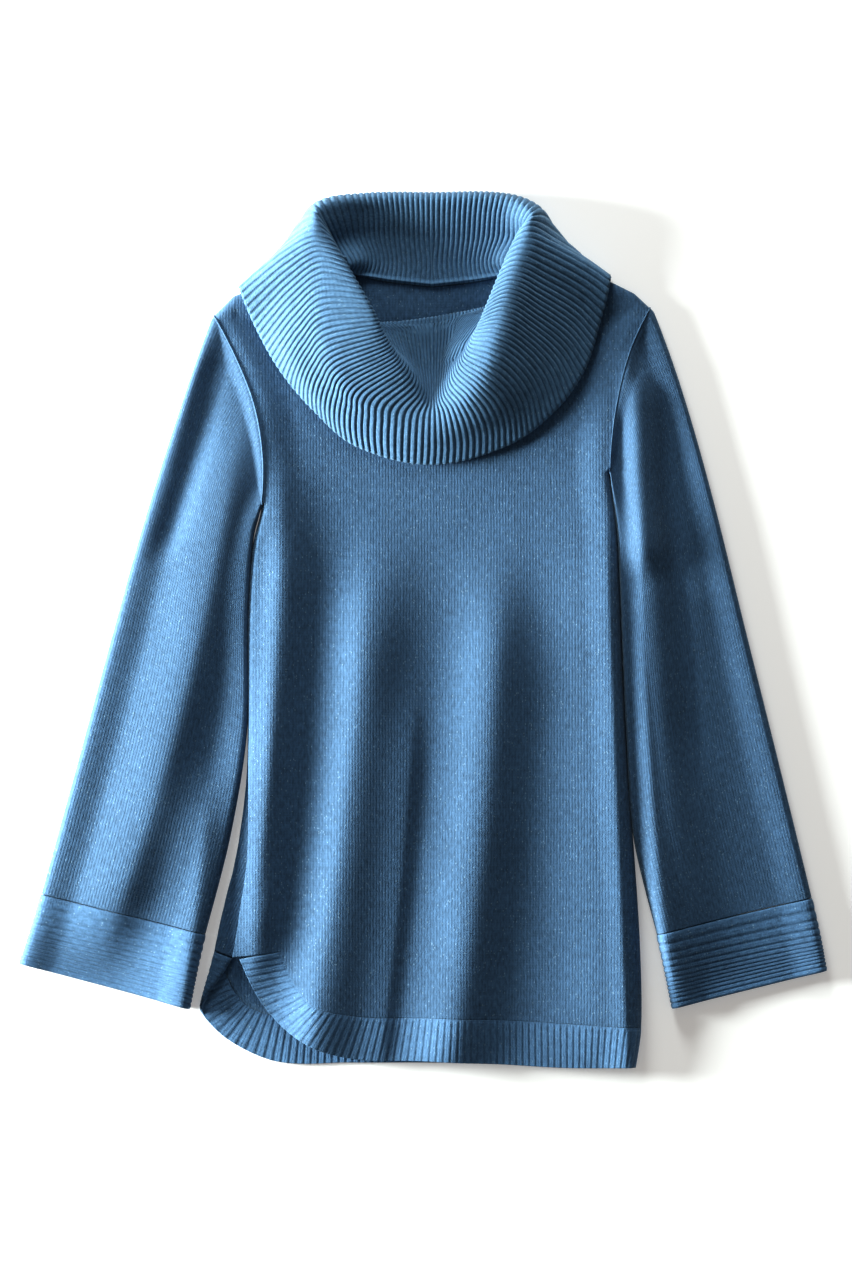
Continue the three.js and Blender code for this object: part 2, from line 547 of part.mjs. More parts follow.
// A panel's surface, by its share across and along: a patch between its four boundaries
function panelSurface(face) {
  const band = face > 0 ? frontBand : backBand;
  const ventShare = face > 0 ? VENT_SHARE_FRONT : VENT_SHARE_BACK;
  const corner = leftSide(0, face);
  const lowEdge = (share) => {
    const start = bandPoint(band, 0, 0, -HALF_GAP);
    if (share >= ventShare) return bandPoint(band, (share - ventShare) / (1 - ventShare), 0, -HALF_GAP);
    const part = share / ventShare;
    return { x: lerp(corner.x, start.x, part), y: lerp(corner.y, start.y + HALF_GAP, part) };
  };
  const highEdge = (share) => upperEdge(share, face);
  const chord = (left, right, share, name) => lerp(left[name], right[name], share);
  return (across, along) => {
    const left = leftSide(along, face);
    const right = rightSide(along);
    const lowPull = clamp(1 - along / LOW_REACH, 0, 1) ** 2;
    const highPull = clamp((along - HIGH_START) / (1 - HIGH_START), 0, 1) ** 2;
    const flat = {};
    for (const name of ['x', 'y']) {
      const low = lowEdge(across)[name] - chord(corner, rightSide(0), across, name);
      const high = highEdge(across)[name] - chord(leftSide(1, face), rightSide(1), across, name);
      flat[name] = chord(left, right, across, name) + low * lowPull + high * highPull;
    }
    return bodyPoint(flat.x, flat.y, face);
  };
}

const BAND_ALONG = [0, 0.1, 0.25, 0.4, 0.55, 0.75, 1];
const ARMHOLE_STATIONS = [0, 0.008, 0.03, 0.1, 0.2, 0.32, 0.45, 0.58, 0.7, 0.81, 0.9, 0.97, 0.992, 1];
const ARMHOLE_INSIDE = [0, 0.03, 0.2, 0.45, 0.7, 0.9, 0.97, 1];
const SIDE_STATIONS = [0, 0.04, 0.09, 0.16, 0.25, 0.36, 0.48, 0.6, 0.72, 0.84, 0.94];
const SIDE_INSIDE = [0, 0.16, 0.36, 0.6, 0.84];
const LEFT_COLUMNS = [0.115, 0.135, 0.165, 0.21, 0.255];
const RIGHT_COLUMNS = [0.75, 0.8, 0.85, 0.9, 0.945, 0.974, 0.988, 1];

function panelRows(sideShares, armholeShares) {
  const below = sideShares.map((share) => share * UNDERARM_ALONG);
  return [...below, ...armholeShares.map((share) => lerp(UNDERARM_ALONG, 1, share))];
}

function panelColumns(face) {
  const ventShare = face > 0 ? VENT_SHARE_FRONT : VENT_SHARE_BACK;
  const vent = BAND_ALONG.map((share) => ventShare * (1 - share)).reverse();
  const frontNeck = evenly(FRONT_NECK_SPANS).map((share) => biased(share, 1 / NECK_BIAS));
  const neck = face > 0 ? frontNeck : evenly(BACK_NECK_SPANS);
  const acrossNeck = neck.map((share) => lerp(NECK_START, NECK_END, share));
  return [...vent, ...LEFT_COLUMNS, ...acrossNeck, ...RIGHT_COLUMNS];
}

function panel(face) {
  return clothOn(panelSurface(face), {
    side: face,
    across: panelColumns(face),
    along: panelRows(SIDE_STATIONS, ARMHOLE_STATIONS),
    insideAlong: panelRows(SIDE_INSIDE, ARMHOLE_INSIDE),
  });
}

// Ribs run square to the band's seam and fade where it rests on the ground
function hemBand(face) {
  const band = face > 0 ? frontBand : backBand;
  const ribs = Math.round(band.length / BAND_PITCH);
  const ribbed = evenly(ribs * 2);
  const surface = (across, along) => {
    const share = lerp(VENT_GAP / band.length, 1, across);
    const start = HALF_GAP * (1 - along);
    const point = bandPoint(band, share, along, start);
    return bodyPoint(point.x, point.y, face);
  };
  const rib = (across) => BAND_RISE * (0.5 - 0.5 * Math.cos(2 * Math.PI * ribs * across));
  const relief = (across, along) => {
    const clear = step(surface(across, along).z, GROUND_CLEAR, RIBS_FULL);
    return rib(across) * clear * step(along, 0, RIB_START);
  };
  if (face > 0) {
    const along = [0, 0.1, 0.5, 1];
    return clothOn(surface, { side: -1, across: ribbed, along, insideAcross: evenly(ribs),
      insideAlong: [0, 1], relief });
  }
  const seen = ribbed.filter((share) => share < BACK_BAND_SEEN);
  const across = [...seen, ...evenly(BACK_BAND_SPANS, ribbed[seen.length], 1)];
  const raised = (share, along) => {
    return share < BACK_BAND_SEEN ? rib(share) * step(along, 0, RIB_START) : 0;
  };
  const flatter = (share, along) => (share < BACK_BAND_SEEN ? relief(share, along) : 0);
  return clothOn(surface, { side: 1, across, along: BAND_ALONG, relief: flatter, insideRelief: raised });
}

// Sleeve and cuff: one flattened tube. The ring goes over the top from the outer edge (0) to the
// inner edge (1), and back along the ground to the outer edge (2).
function sleeveSurface(sections, bodyEdge, outward) {
  const sectionAt = curveThrough(sections, 'along');
  const first = sections[0];
  const length = sections.reduce((sum, row, i) => {
    const before = sections[Math.max(i - 1, 0)];
    return sum + (row.along > 1 ? 0 : Math.hypot(row.outerX - before.outerX, row.outerY - before.outerY));
  }, 0);
  return (ring, along) => {
    const around = (ring + 2) % 2;
    const share = around <= 1 ? around : 2 - around;
    const { outerX, outerY, innerX, innerY } = sectionAt(along);
    const armholeY = lerp(first.outerY, first.innerY, share);
    const chordX = lerp(first.outerX, first.innerX, share);
    const gap = lerp(TIP_GAP, HALF_GAP, step(share, 0, TIP_SHARE));
    const bow = bodyEdge(armholeY) + outward * gap - chordX;
    const pull = clamp(1 - along / ARMHOLE_REACH, 0, 1) ** 2;
    const x = lerp(outerX, innerX, share) + bow * pull;
    const y = lerp(outerY, innerY, share);
    const width = Math.hypot(outerX - innerX, outerY - innerY);
    const fromEdge = Math.min(share, 1 - share) * width;
    const half = topHeight(x, y, Math.min(fromEdge, along * length)) / 2;
    const face = around <= 1 ? 1 : -1;
    return new THREE.Vector3(x, y, half + face * half * rollShare(fromEdge));
  };
}

function ringOf(topStations, groundStations) {
  const top = topStations.map((share) => 1 - share).reverse();
  return [...top, ...groundStations.slice(1, -1).map((share) => 1 + share)];
}

function sleeve(surface, side) {
  return clothOn(surface, {
    side,
    period: 2,
    across: ringOf(ARMHOLE_STATIONS, ARMHOLE_STATIONS),
    along: SLEEVE_STATIONS,
    insideAcross: ringOf(ARMHOLE_INSIDE, ARMHOLE_INSIDE),
    insideAlong: SLEEVE_INSIDE,
  });
}

function cuff(surface, side) {
  const start = 1 + CUFF_SEAM;
  const relief = (ring, along) => {
    const ridge = 0.5 - 0.5 * Math.cos(2 * Math.PI * CUFF_RIDGES * (along - start) / (2 - start));
    return CUFF_RISE * ridge * step(surface(ring, along).z, GROUND_CLEAR, RIBS_FULL);
  };
  return clothOn(surface, {
    side,
    period: 2,
    across: ringOf(CUFF_TOP_STATIONS, ARMHOLE_INSIDE),
    along: evenly(CUFF_RIDGES * 2, start, 2),
    insideAcross: ringOf(ARMHOLE_INSIDE, ARMHOLE_INSIDE),
    insideAlong: evenly(3, start, 2),
    relief,
  });
}

// Collar: a column of the section table as a closed curve by rib
function collarLine(name) {
  const pointOf = ({ rib, [name]: value }, turns) => {
    const [x, y, z] = Array.isArray(value) ? value : [value, 0, 0];
    return { rib: rib + turns * COLLAR_RIBS, x, y, z };
  };
  const rows = [
    ...COLLAR.slice(-3).map((row) => pointOf(row, -1)),
    ...COLLAR.map((row) => pointOf(row, 0)),
    ...COLLAR.slice(0, 3).map((row) => pointOf(row, 1)),
  ];
  return curveThrough(rows, 'rib');
}
const collarLines = Object.fromEntries(
  Object.keys(COLLAR[0]).filter((name) => name !== 'rib').map((name) => [name, collarLine(name)]));

// The guide points of one collar section, from the neck seam to the free edge
function collarSection(rib) {
  const pointAt = (name) => {
    const { x, y, z } = collarLines[name](rib);
    return new THREE.Vector3(x, y, z);
  };
  const lean = THREE.MathUtils.degToRad(collarLines.lean(rib).x);
  const seam = neckAt(rib);
  const ahead = neckAt(rib + 0.5);
  const behind = neckAt(rib - 0.5);
  const inward = new THREE.Vector3(behind.y - ahead.y, ahead.x - behind.x, 0).normalize();
  const overBack = clamp(-Math.cos(lean), 0, 1);
  const seamZ = lerp(SEAM_MID_FRONT, SEAM_MID_BACK, overBack);
  const onBack = lean > Math.PI / 2 ? Math.sin(lean) * SEAM_HUMP : 0;
  const start = new THREE.Vector3(seam.x, seam.y, seamZ + onBack - Math.cos(lean) * RIB_CLOTH / 2);
  const clearance = NECK_GAP * Math.cos(lean) + (NECK_GAP + RIB_CLOTH) * Math.sin(lean);
  start.addScaledVector(inward, clearance);
  const crest = pointAt('crest');
  const brow = pointAt('brow');
  const stand = start.clone().addScaledVector(inward, Math.cos(lean) * STAND_SHARE * start.distanceTo(crest));
  stand.z += Math.sin(lean) * STAND_SHARE * start.distanceTo(crest);
  const hollow = crest.clone().lerp(brow, DIP_PLACE);
  hollow.z -= collarLines.dip(rib).x;
  return [start, stand, crest, hollow, brow, pointAt('ridge'), pointAt('roll'), pointAt('fall'),
    pointAt('edge')];
}

function collarSurface(rib, along) {
  const points = collarSection(rib);
  const i = clamp(Math.floor(along), 0, points.length - 2);
  const s = along - i;
  const start = points[i];
  const end = points[i + 1];
  const before = points[i - 1] ?? start.clone().multiplyScalar(2).sub(end);
  const after = points[i + 2] ?? end.clone().multiplyScalar(2).sub(start);
  const point = new THREE.Vector3();
  for (const axis of ['x', 'y', 'z']) {
    const leave = (end[axis] - before[axis]) / 2;
    const arrive = (after[axis] - start[axis]) / 2;
    const rise = s * s * (3 - 2 * s);
    point[axis] = lerp(start[axis], end[axis], rise)
      + s * (1 - s) * (1 - s) * leave + s * s * (s - 1) * arrive;
  }
  const isOuter = along > COLLAR_RIDGE_PLACE && rib > COLLAR_OVER_FIRST && rib < COLLAR_OVER_LAST;
  const rest = isOuter ? bodyTop(point.x, point.y) + COLLAR_REST : 0;
  point.z = Math.max(point.z, rest);
  return point;
}

function collar() {
  const relief = (rib, along) => {
    const wave = 0.5 + 0.5 * Math.cos(2 * Math.PI * rib);
    const clear = step(collarSurface(rib, along).z, GROUND_CLEAR, RIBS_FULL);
    return COLLAR_RISE * wave * clear * step(along, 0, COLLAR_RIB_START);
  };
  const columns = evenly(COLLAR_RIBS * 2, 0, COLLAR_RIBS).slice(0, -1);
  return clothOn(collarSurface, {
    side: -1,
    period: COLLAR_RIBS,
    thickness: RIB_CLOTH,
    across: columns,
    along: COLLAR_STATIONS,
    insideAcross: columns.filter((_, i) => i % 2 === 0),
    relief,
  });
}

// The garment
function named(name, geometry, colour) {
  const material = new THREE.MeshStandardMaterial({
    color: colour,
    roughness: KNIT_ROUGHNESS,
    metalness: 0,
  });
  const mesh = new THREE.Mesh(geometry, material);
  mesh.name = name;
  return mesh;
}

const rightTube = sleeveSurface(SLEEVE_RIGHT, leftEdge, -1);
const leftTube = sleeveSurface(SLEEVE_LEFT, rightEdge, 1);
const garment = new THREE.Group();
garment.add(
  named('front_panel', panel(1), PLAIN_BLUE),
  named('back_panel', panel(-1), PLAIN_BLUE),
  named('sleeve_right', sleeve(rightTube, -1), PLAIN_BLUE),
  named('sleeve_left', sleeve(leftTube, 1), PLAIN_BLUE),
  named('cuff_right', cuff(rightTube, -1), BAND_BLUE),
  named('cuff_left', cuff(leftTube, 1), BAND_BLUE),
  named('hem_band_front', hemBand(1), BAND_BLUE),
  named('hem_band_back', hemBand(-1), BAND_BLUE),
  named('cowl', collar(), COLLAR_BLUE),
);

// The origin is below the middle of the garment, on the ground
const bounds = new THREE.Box3().setFromObject(garment, true);
garment.position.set(-(bounds.min.x + bounds.max.x) / 2, -(bounds.min.y + bounds.max.y) / 2, -bounds.min.z);

export default garment;
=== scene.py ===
"""A tunic sweater laid out flat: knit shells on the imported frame, a pale floor, lights, camera.

Shapes are worked out in millimetres, seen from above: x to the wearer's left, y to the head,
z up. They are moved into the frame and turned into metres when a mesh is made.
"""
import math

import bpy
import numpy as np
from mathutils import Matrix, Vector


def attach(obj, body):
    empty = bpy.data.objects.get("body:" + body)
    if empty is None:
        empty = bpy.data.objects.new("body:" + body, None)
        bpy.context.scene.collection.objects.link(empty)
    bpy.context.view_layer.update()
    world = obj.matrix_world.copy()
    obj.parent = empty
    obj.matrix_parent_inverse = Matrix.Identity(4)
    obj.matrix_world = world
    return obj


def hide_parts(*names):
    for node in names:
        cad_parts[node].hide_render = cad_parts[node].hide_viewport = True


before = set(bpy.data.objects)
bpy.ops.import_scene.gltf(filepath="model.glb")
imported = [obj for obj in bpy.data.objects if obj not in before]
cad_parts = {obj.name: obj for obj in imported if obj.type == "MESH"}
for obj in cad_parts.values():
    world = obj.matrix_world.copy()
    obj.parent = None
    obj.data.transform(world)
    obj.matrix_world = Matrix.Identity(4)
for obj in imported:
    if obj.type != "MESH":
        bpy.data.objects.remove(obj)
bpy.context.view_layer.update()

MM = 0.001
TO_FRAME = (-0.144, 0.174, 0.0)  # from the drawing's middle to the middle of the frame's box

# Cloth, seams and edges
CLOTH = 2.2
RIB_CLOTH = 3.0
EDGE_Z = 12  # height of the body at its edges, and of its flat middle
BASE_Z = 7.5
LOWEST_TOP = 5.4
EDGE_SPREAD = 34
ROLL = 6  # radius of a rolled edge
QUARTER_SLACK = math.pi / 2 - 1
LEAST_ROLL = 0.02
SHOULDER_TRIM = 0.06

# Neck and collar
CENTRE_X = 8
NECK_HALF_WIDTH = 80
NECK_TOP_Y = 331
NECK_DEPTH = 129
NECK_STEP_Y = 200
NECK_START = 0.3
NECK_END = 0.705
NECK_BIAS = 0.62
HIGH_POINT_X = 88  # where shoulder and neck meet
SHOULDER_RIB = 14
COLLAR_RIBS = 88
COLLAR_LIFT = 3.3  # the back panel rises over the collar that is folded below it
COLLAR_LIFT_START = 40
COLLAR_LIFT_END = 15
COLLAR_LIFT_SIDE = 178
SHOULDER_REACH = 192
COLLAR_BACK_Y = 280
COLLAR_BACK_CURVE = 26
COLLAR_HALF_WIDTH = 171
DIP_PLACE = 0.6
STAND_SHARE = 0.45
COLLAR_REST = RIB_CLOTH + 0.7  # least height of the fold-over above the body
COLLAR_RIDGE_PLACE = 4.5
COLLAR_OVER_FIRST = 17
COLLAR_OVER_LAST = 72
SEAM_MID_FRONT = EDGE_Z - RIB_CLOTH / 2
SEAM_MID_BACK = COLLAR_LIFT + RIB_CLOTH / 2
NECK_GAP = 0.5
SEAM_HUMP = 5.4

# Reliefs of the knit
COLLAR_RISE = 1.3  # height of the ribs
FINE_RIBS = 1.5  # ribs of the cloth for each rib of the plain form
RIB_PITCH = 6
RIB_STEP = 0.05  # for the distance between ribs
RIB_START = 0.1
COLLAR_RIB_FULL = 0.5
COLLAR_FULL_RISE = 1.5  # times the pitch at which the ribs have their full height
COLLAR_SHARPNESS = 0.7
RIB_SHARPNESS = 0.8
BAND_PITCH = 5.8
BAND_RISE = 0.5
CUFF_RIDGES = 13  # crosswise, so they are counted from seam to edge
CUFF_RISE = 0.8
SEAM_RISE = 1.1  # raised line of the armhole seam
SEAM_WIDTH = 1.8
SEAM_PLACE = 3.0
BEAD_RISE = 3.0  # rolled rim along the neck seam, with its width and place in the section
BEAD_WIDTH = 0.1
BEAD_PLACE = 0.12
GROUND_CLEAR = 0.2  # ribs are flat below this height and full above the next
RIBS_FULL = 4

# Side edges of the body, hem to shoulder tip: y, x
LEFT_EDGE = [
    (-400, -215), (-356, -204), (-331, -199), (-294, -189), (-252, -180), (-200, -167.5),
    (-130, -158.5), (-50, -157.5), (20, -157), (75, -153), (110, -145), (154, -143),
    (201, -150), (243, -166), (283, -187), (300, -198),
]
RIGHT_EDGE = [
    (-400, 190), (-357, 196), (-285, 195), (-205, 190), (-135, 184.5), (-50, 180), (30, 177),
    (95, 174), (140, 168), (171, 169), (207, 174), (252, 185.4), (290, 203), (306, 212),
]
UNDERARM_LEFT_Y = 110
UNDERARM_RIGHT_Y = 140
TIP_LEFT_Y = 283
TIP_RIGHT_Y = 290
HEM_LEFT_Y = -294
HEM_RIGHT_Y = -357
SIDE_INSET = 21
SIDE_INSET_TOP_Y = -60

# Shoulder line from above: x, y; it climbs steeply over the open neck
SHOULDER = [
    (-211, 227), (-187, 283), (-170, 300), (-150, 307), (-72, NECK_TOP_Y),
    (CENTRE_X, NECK_TOP_Y + NECK_STEP_Y), (88, NECK_TOP_Y), (150, 317), (170, 312), (190, 302),
    (203, 290), (223, 262),
]

# Left half of the neck seam from the centre back: collar rib, x, y
NECK = [
    (0, 8, 308), (7, -38, 313.5), (12, -66, 322.5), (14, -72, 331), (15.5, -70.2, 322),
    (20, -63.5, 294), (25, -56, 260), (30, -40, 232), (36, -19, 210.5), (44, 8, 202),
]

# Each band from the vent to the other side: x and y of its seam, x and y of its free edge
FRONT_BAND = [
    (-128.7, -288.9, -164.7, -295.2), (-118.8, -311.4, -153.9, -319.5),
    (-109.8, -325.8, -141.3, -340.2), (-96.3, -338.4, -119.7, -361.8),
    (-73.8, -344.7, -90.9, -378), (-42.3, -348.3, -52.2, -386.1), (9.9, -348.3, 6.3, -387),
    (63, -350.1, 63, -389.7), (128.7, -353.7, 128.7, -393.3), (199.2, -357.5, 193.8, -392.6),
]
BACK_BAND = [
    (-180, -284, -214, -295), (-178, -306, -212, -318), (-170, -325, -203, -340),
    (-155, -340, -176, -368), (-125, -349, -132, -388), (-67, -351, -67, -389),
    (0, -351, 0, -389), (63, -352, 63, -390), (128, -354, 128, -392),
    (199.2, -357.5, 193.8, -392.6),
]
VENT_SHARE_FRONT = 0.1  # share of a panel's width that lies on the vent
VENT_SHARE_BACK = 0.09
VENT_GAP = 0.3
UNDERARM_ALONG = 0.72  # place of the underarm, from hem (0) to shoulder tip (1)
LOW_REACH = 0.25
HIGH_START = 0.5

# Sleeves from the armhole (0) to the cuff seam (1) and the cuff's free edge (2): place along,
# x and y of the outer edge, x and y of the inner edge
SLEEVE_RIGHT = [
    (0, -187, 283, -145, 110), (0.04, -191, 276.5, -147.2, 103), (0.2, -214.2, 211.5, -152.8, 76),
    (0.4, -250.2, 99, -156.8, 3), (0.6, -281.7, -13.5, -157.9, -90),
    (0.8, -312.3, -126, -172.8, -184.5), (1, -342.9, -236.7, -195.3, -272.7),
    (2, -362.7, -299.7, -209.7, -340.2),
]
SLEEVE_LEFT = [
    (0, 203, 290, 168, 140), (0.04, 208.5, 283.2, 169, 128), (0.2, 233.1, 214.2, 174.6, 80),
    (0.4, 260.1, 119.7, 178.1, -9), (0.6, 289.8, 0, 182.3, -99),
    (0.8, 320.4, -122.4, 188.6, -184.5), (1, 349.2, -240.3, 209.7, -272.7),
    (2, 362.7, -306, 224.1, -340.2),
]
TIP_GAP = 0.1
TIP_SHARE = 0.06
ARMHOLE_REACH = 0.35
CUFF_SEAM = 0.005  # the cuff starts this far past the seam

# Folds, crests (rise above 0) and troughs: x and y of the top, x of the middle, x and y of the
# low end, rise, half widths of the slopes to the left and to the right
FOLDS = [
    (-122, 185, -131, -152, -300, 13, 17, 21),
    (-44, 115, -64, -104, -400, 15, 26, 38),
    (-6, -20, -20, -42, -400, 4, 20, 10),
    (68, 108, 54, 20, -410, 15, 34, 32),
    (160, 165, 170, 181, -390, 12, 52, 13),
    (-160, 240, -205, -283, -270, 13, 40, 26),
    (-180, 280, -200, -234, 70, -4, 12, 12),
    (-196, -110, -205, -222, -360, 8, 34, 16),
    (188, 262, 193, 197, 60, 12, 12, 22),
    (196, 150, 203, 222, -310, 14, 14, 42),
    (214, 240, 226, 242, -120, -4, 12, 12),
]
FOLD_FADE = 0.3  # share of a fold in which it rises to its full height

# Collar sections by rib, from the neck seam to the free edge through points of the seen face
COLLAR_COLUMNS = ("rib", "lean", "crest", "dip", "brow", "ridge", "roll", "fall", "edge")
COLLAR = [
    (0, 180, (8, 350, 9), 0, (8, 374, 17), (8, 387, 20), (8, 391.5, 9), (8, 377, 0), (8, 280, 0)),
    (9, 175, (-52, 352, 10), 0, (-54, 374, 19), (-57, 386, 23), (-59, 390.5, 10), (-61, 377, 0),
     (-86, 287, 0)),
    (13, 125, (-77, 345, 18), 0, (-88, 366, 33), (-94, 377, 36), (-100, 379, 19), (-110, 352, 0),
     (-132, 296, 0)),
    (14.9, 100, (-72, 331, 21), 0, (-85, 354, 37), (-98, 361, 41), (-119, 349, 24),
     (-142, 328, 3), (-160, 305, 0)),
    (16.3, 92, (-68, 320, 24), 0, (-81, 346, 41), (-99, 350, 43), (-123, 338, 33),
     (-148, 320, 21), (-164.5, 306, 15.5)),
    (20, 88, (-61, 300, 24), 0, (-66, 320, 42), (-92, 325, 41), (-118, 307, 32),
     (-138, 287, 21), (-151, 273, 12)),
    (25, 65, (-60, 276, 21), 0, (-47, 286, 42), (-89, 284, 39), (-109, 265, 31),
     (-121, 248, 23), (-129, 234, 12)),
    (30, 30, (-52, 276, 18), 3, (-36, 261, 38), (-80, 246, 37), (-94, 230, 30),
     (-100, 214, 23), (-100, 199, 12)),
    (36, 8, (-34, 275, 18), 4, (-20, 237, 33), (-56, 213, 33), (-61, 196, 28), (-62, 180, 21),
     (-60, 165, 12)),
    (44, 0, (8, 280, 15), 3, (9, 207, 24), (9, 192, 27), (9, 177, 25), (9, 162, 18),
     (8, 148.5, 12)),
    (52, 8, (46, 287, 18), 4, (33, 237, 31), (50, 222, 39), (66, 206, 32), (75, 188, 21),
     (77, 166, 12)),
    (58, 30, (64, 290, 19), 3, (46, 264, 33), (66, 262, 42), (89, 248, 33), (108, 226, 22),
     (119, 197, 12)),
    (63, 65, (72, 284, 22), 0, (55, 284, 37), (75, 292, 44), (100, 278, 34), (127, 258, 21),
     (145, 233, 12)),
    (68, 88, (76, 301, 25), 0, (68, 316, 38), (84, 322, 44), (108, 311, 35), (139, 294, 21),
     (159, 276, 12)),
    (71.7, 92, (84, 320, 25), 0, (80, 344, 38), (94, 350, 43), (116, 342, 34), (146, 327, 22),
     (168, 313, 16)),
    (73.1, 100, (88, 331, 22), 0, (85, 354, 37), (97, 361, 41), (117, 352, 24), (144, 336, 3),
     (165, 318, 0)),
    (75, 125, (92, 345, 18), 0, (91, 364, 33), (98, 373, 36), (107, 376, 19), (118, 352, 0),
     (140, 299, 0)),
    (79, 175, (68, 352, 10), 0, (70, 374, 19), (73, 386, 23), (75, 390.5, 10), (77, 377, 0),
     (102, 288, 0)),
]


# Stations of the meshes, as shares of a side or places along a table
SIDE_STATIONS = [0, 0.04, 0.09, 0.16, 0.25, 0.36, 0.48, 0.6, 0.72, 0.84, 0.94]
ARMHOLE_STATIONS = [0, 0.008, 0.03, 0.1, 0.2, 0.32, 0.45, 0.58, 0.7, 0.81, 0.9, 0.97, 0.992, 1]
EDGE_DENSE = [0, 0.0015, 0.005, 0.01, 0.017, 0.026, 0.037, 0.05]
BAND_STATIONS = [0, 0.05, 0.12, 0.3, 0.6, 0.85, 0.95, 1]
SLEEVE_STATIONS = [0, 0.04, 0.1, 0.2, 0.32, 0.45, 0.58, 0.7, 0.82, 0.92, 1]
SLEEVE_INSIDE_STATIONS = [0, 0.1, 0.32, 0.58, 0.82, 1]
COLLAR_STATIONS = [0, 0.2, 1, 2, 2.5, 3, 4, 4.7, 5.4, 6.1, 7, 8]

# Counts of points in the meshes: across and along a face, or on the top and the ground of a tube
FRONT_ACROSS, FRONT_SIDE, FRONT_ARMHOLE = 190, 230, 101
BACK_ACROSS, BACK_SIDE, BACK_ARMHOLE = 110, 120, 61
BAND_POINTS_A_RIB, BAND_INSIDE_POINTS_A_RIB = 8, 2
BAND_ALONG, BAND_INSIDE_ALONG = 26, 8
SLEEVE_TOP, SLEEVE_GROUND, SLEEVE_ALONG = 72, 40, 180
SLEEVE_SEAM_ALONG = 9
CUFF_TOP, CUFF_GROUND, CUFF_POINTS_A_RIDGE = 90, 40, 8
TUBE_INSIDE_TOP, TUBE_INSIDE_GROUND = 24, 16
SLEEVE_INSIDE_ALONG, CUFF_INSIDE_ALONG = 60, 12
COLLAR_POINTS_A_RIB, COLLAR_ALONG = 9, 89
COLLAR_INSIDE_POINTS_A_RIB, COLLAR_INSIDE_ALONG = 6, 45

# Textures
UV_SCALE = 0.01  # texture coordinates are in units of 100 mm of cloth
SLEEVE_WIDTH = 150  # mean widths
BAND_WIDTH = 37
COLLAR_STRIP = 24  # mean length between two guide points

STEP = 1e-4  # for the normals of a surface


# Small sums
def step(value, low, high):
    share = np.clip((value - low) / (high - low), 0, 1)
    return share * share * (3 - 2 * share)


def lerp(start, end, share):
    return start + (end - start) * share


def biased(share, power):
    """Crowds shares of a symmetric span towards its ends (power below 1) or its middle."""
    half = 0.5 * (2 * np.minimum(share, 1 - share)) ** power
    return np.where(share < 0.5, half, 1 - half)


def curve_through(keys, values):
    """A smooth curve through rows of numbers, as a function of the key."""
    keys = np.asarray(keys, float)
    values = np.asarray(values, float)
    place = np.arange(len(keys))
    after = np.minimum(place + 1, len(keys) - 1)
    before = np.maximum(place - 1, 0)
    slopes = (values[after] - values[before]) / (keys[after] - keys[before])[:, None]

    def at(key):
        i = np.clip(np.searchsorted(keys, key, side="right") - 1, 0, len(keys) - 2)
        span = keys[i + 1] - keys[i]
        s = np.clip((key - keys[i]) / span, 0, 1)[..., None]
        rise = s * s * (3 - 2 * s)
        leave = s * (1 - s) ** 2 * span[..., None] * slopes[i]
        arrive = s * s * (s - 1) * span[..., None] * slopes[i + 1]
        return lerp(values[i], values[i + 1], rise) + leave + arrive

    return at


def rows_curve(rows):
    """A curve through a table whose first column is the key."""
    table = np.array(rows, float)
    return curve_through(table[:, 0], table[:, 1:])


# Body edges and heights
left_curve = rows_curve(LEFT_EDGE)
right_curve = rows_curve(RIGHT_EDGE)
shoulder_table = np.array(SHOULDER, float)


def left_edge(y):
    return left_curve(y)[..., 0]


def right_edge(y):
    return right_curve(y)[..., 0]


def shoulder_y(x):
    return np.interp(x, shoulder_table[:, 0], shoulder_table[:, 1])


def roll_share(distance):
    return np.sqrt(1 - (1 - np.clip(distance / ROLL, 0, 1)) ** 2)


def open_share(y, underarm_y):
    return step(y, underarm_y, underarm_y + ROLL)


def shoulder_depth(x, y):
    slope = (shoulder_y(x + 1) - shoulder_y(x - 1)) / 2
    return (shoulder_y(x) - y) / np.hypot(1, slope)


def neck_distance(x, y):
    across = (x - CENTRE_X) / NECK_HALF_WIDTH
    down = np.minimum(y - NECK_TOP_Y, 0) / NECK_DEPTH
    return np.maximum(0, (np.hypot(across, down) - 1) * NECK_HALF_WIDTH)


def fold_height(x, y):
    height = np.zeros(np.broadcast(x, y).shape)
    for top_x, top_y, mid_x, low_x, low_y, rise, left, right in FOLDS:
        s = (top_y - y) / (top_y - low_y)
        bow = 4 * s * (1 - s) * (mid_x - (top_x + low_x) / 2)
        away = x - lerp(top_x, low_x, s) - bow
        half = np.where(away < 0, left, right)
        length = step(s, 0, FOLD_FADE) * (1 - step(s, 1 - FOLD_FADE / 3, 1 + FOLD_FADE / 3))
        height = height + rise * length * np.exp(-((away / half) ** 2))
    return height


def top_height(x, y, from_edge):
    base = lerp(EDGE_Z, BASE_Z, step(from_edge, ROLL, EDGE_SPREAD))
    return np.maximum(base + fold_height(x, y), LOWEST_TOP)


def body_top(x, y):
    sides = np.minimum(x - left_edge(y), right_edge(y) - x)
    nearest = np.minimum(np.minimum(sides, shoulder_depth(x, y)), neck_distance(x, y))
    return top_height(x, y, nearest)


def body_bottom(x, y):
    edge = COLLAR_BACK_Y + COLLAR_BACK_CURVE * ((x - CENTRE_X) / COLLAR_HALF_WIDTH) ** 2
    sideways = 1 - step(np.abs(x - CENTRE_X), COLLAR_LIFT_SIDE, SHOULDER_REACH)
    return COLLAR_LIFT * sideways * step(y, edge - COLLAR_LIFT_START, edge - COLLAR_LIFT_END)


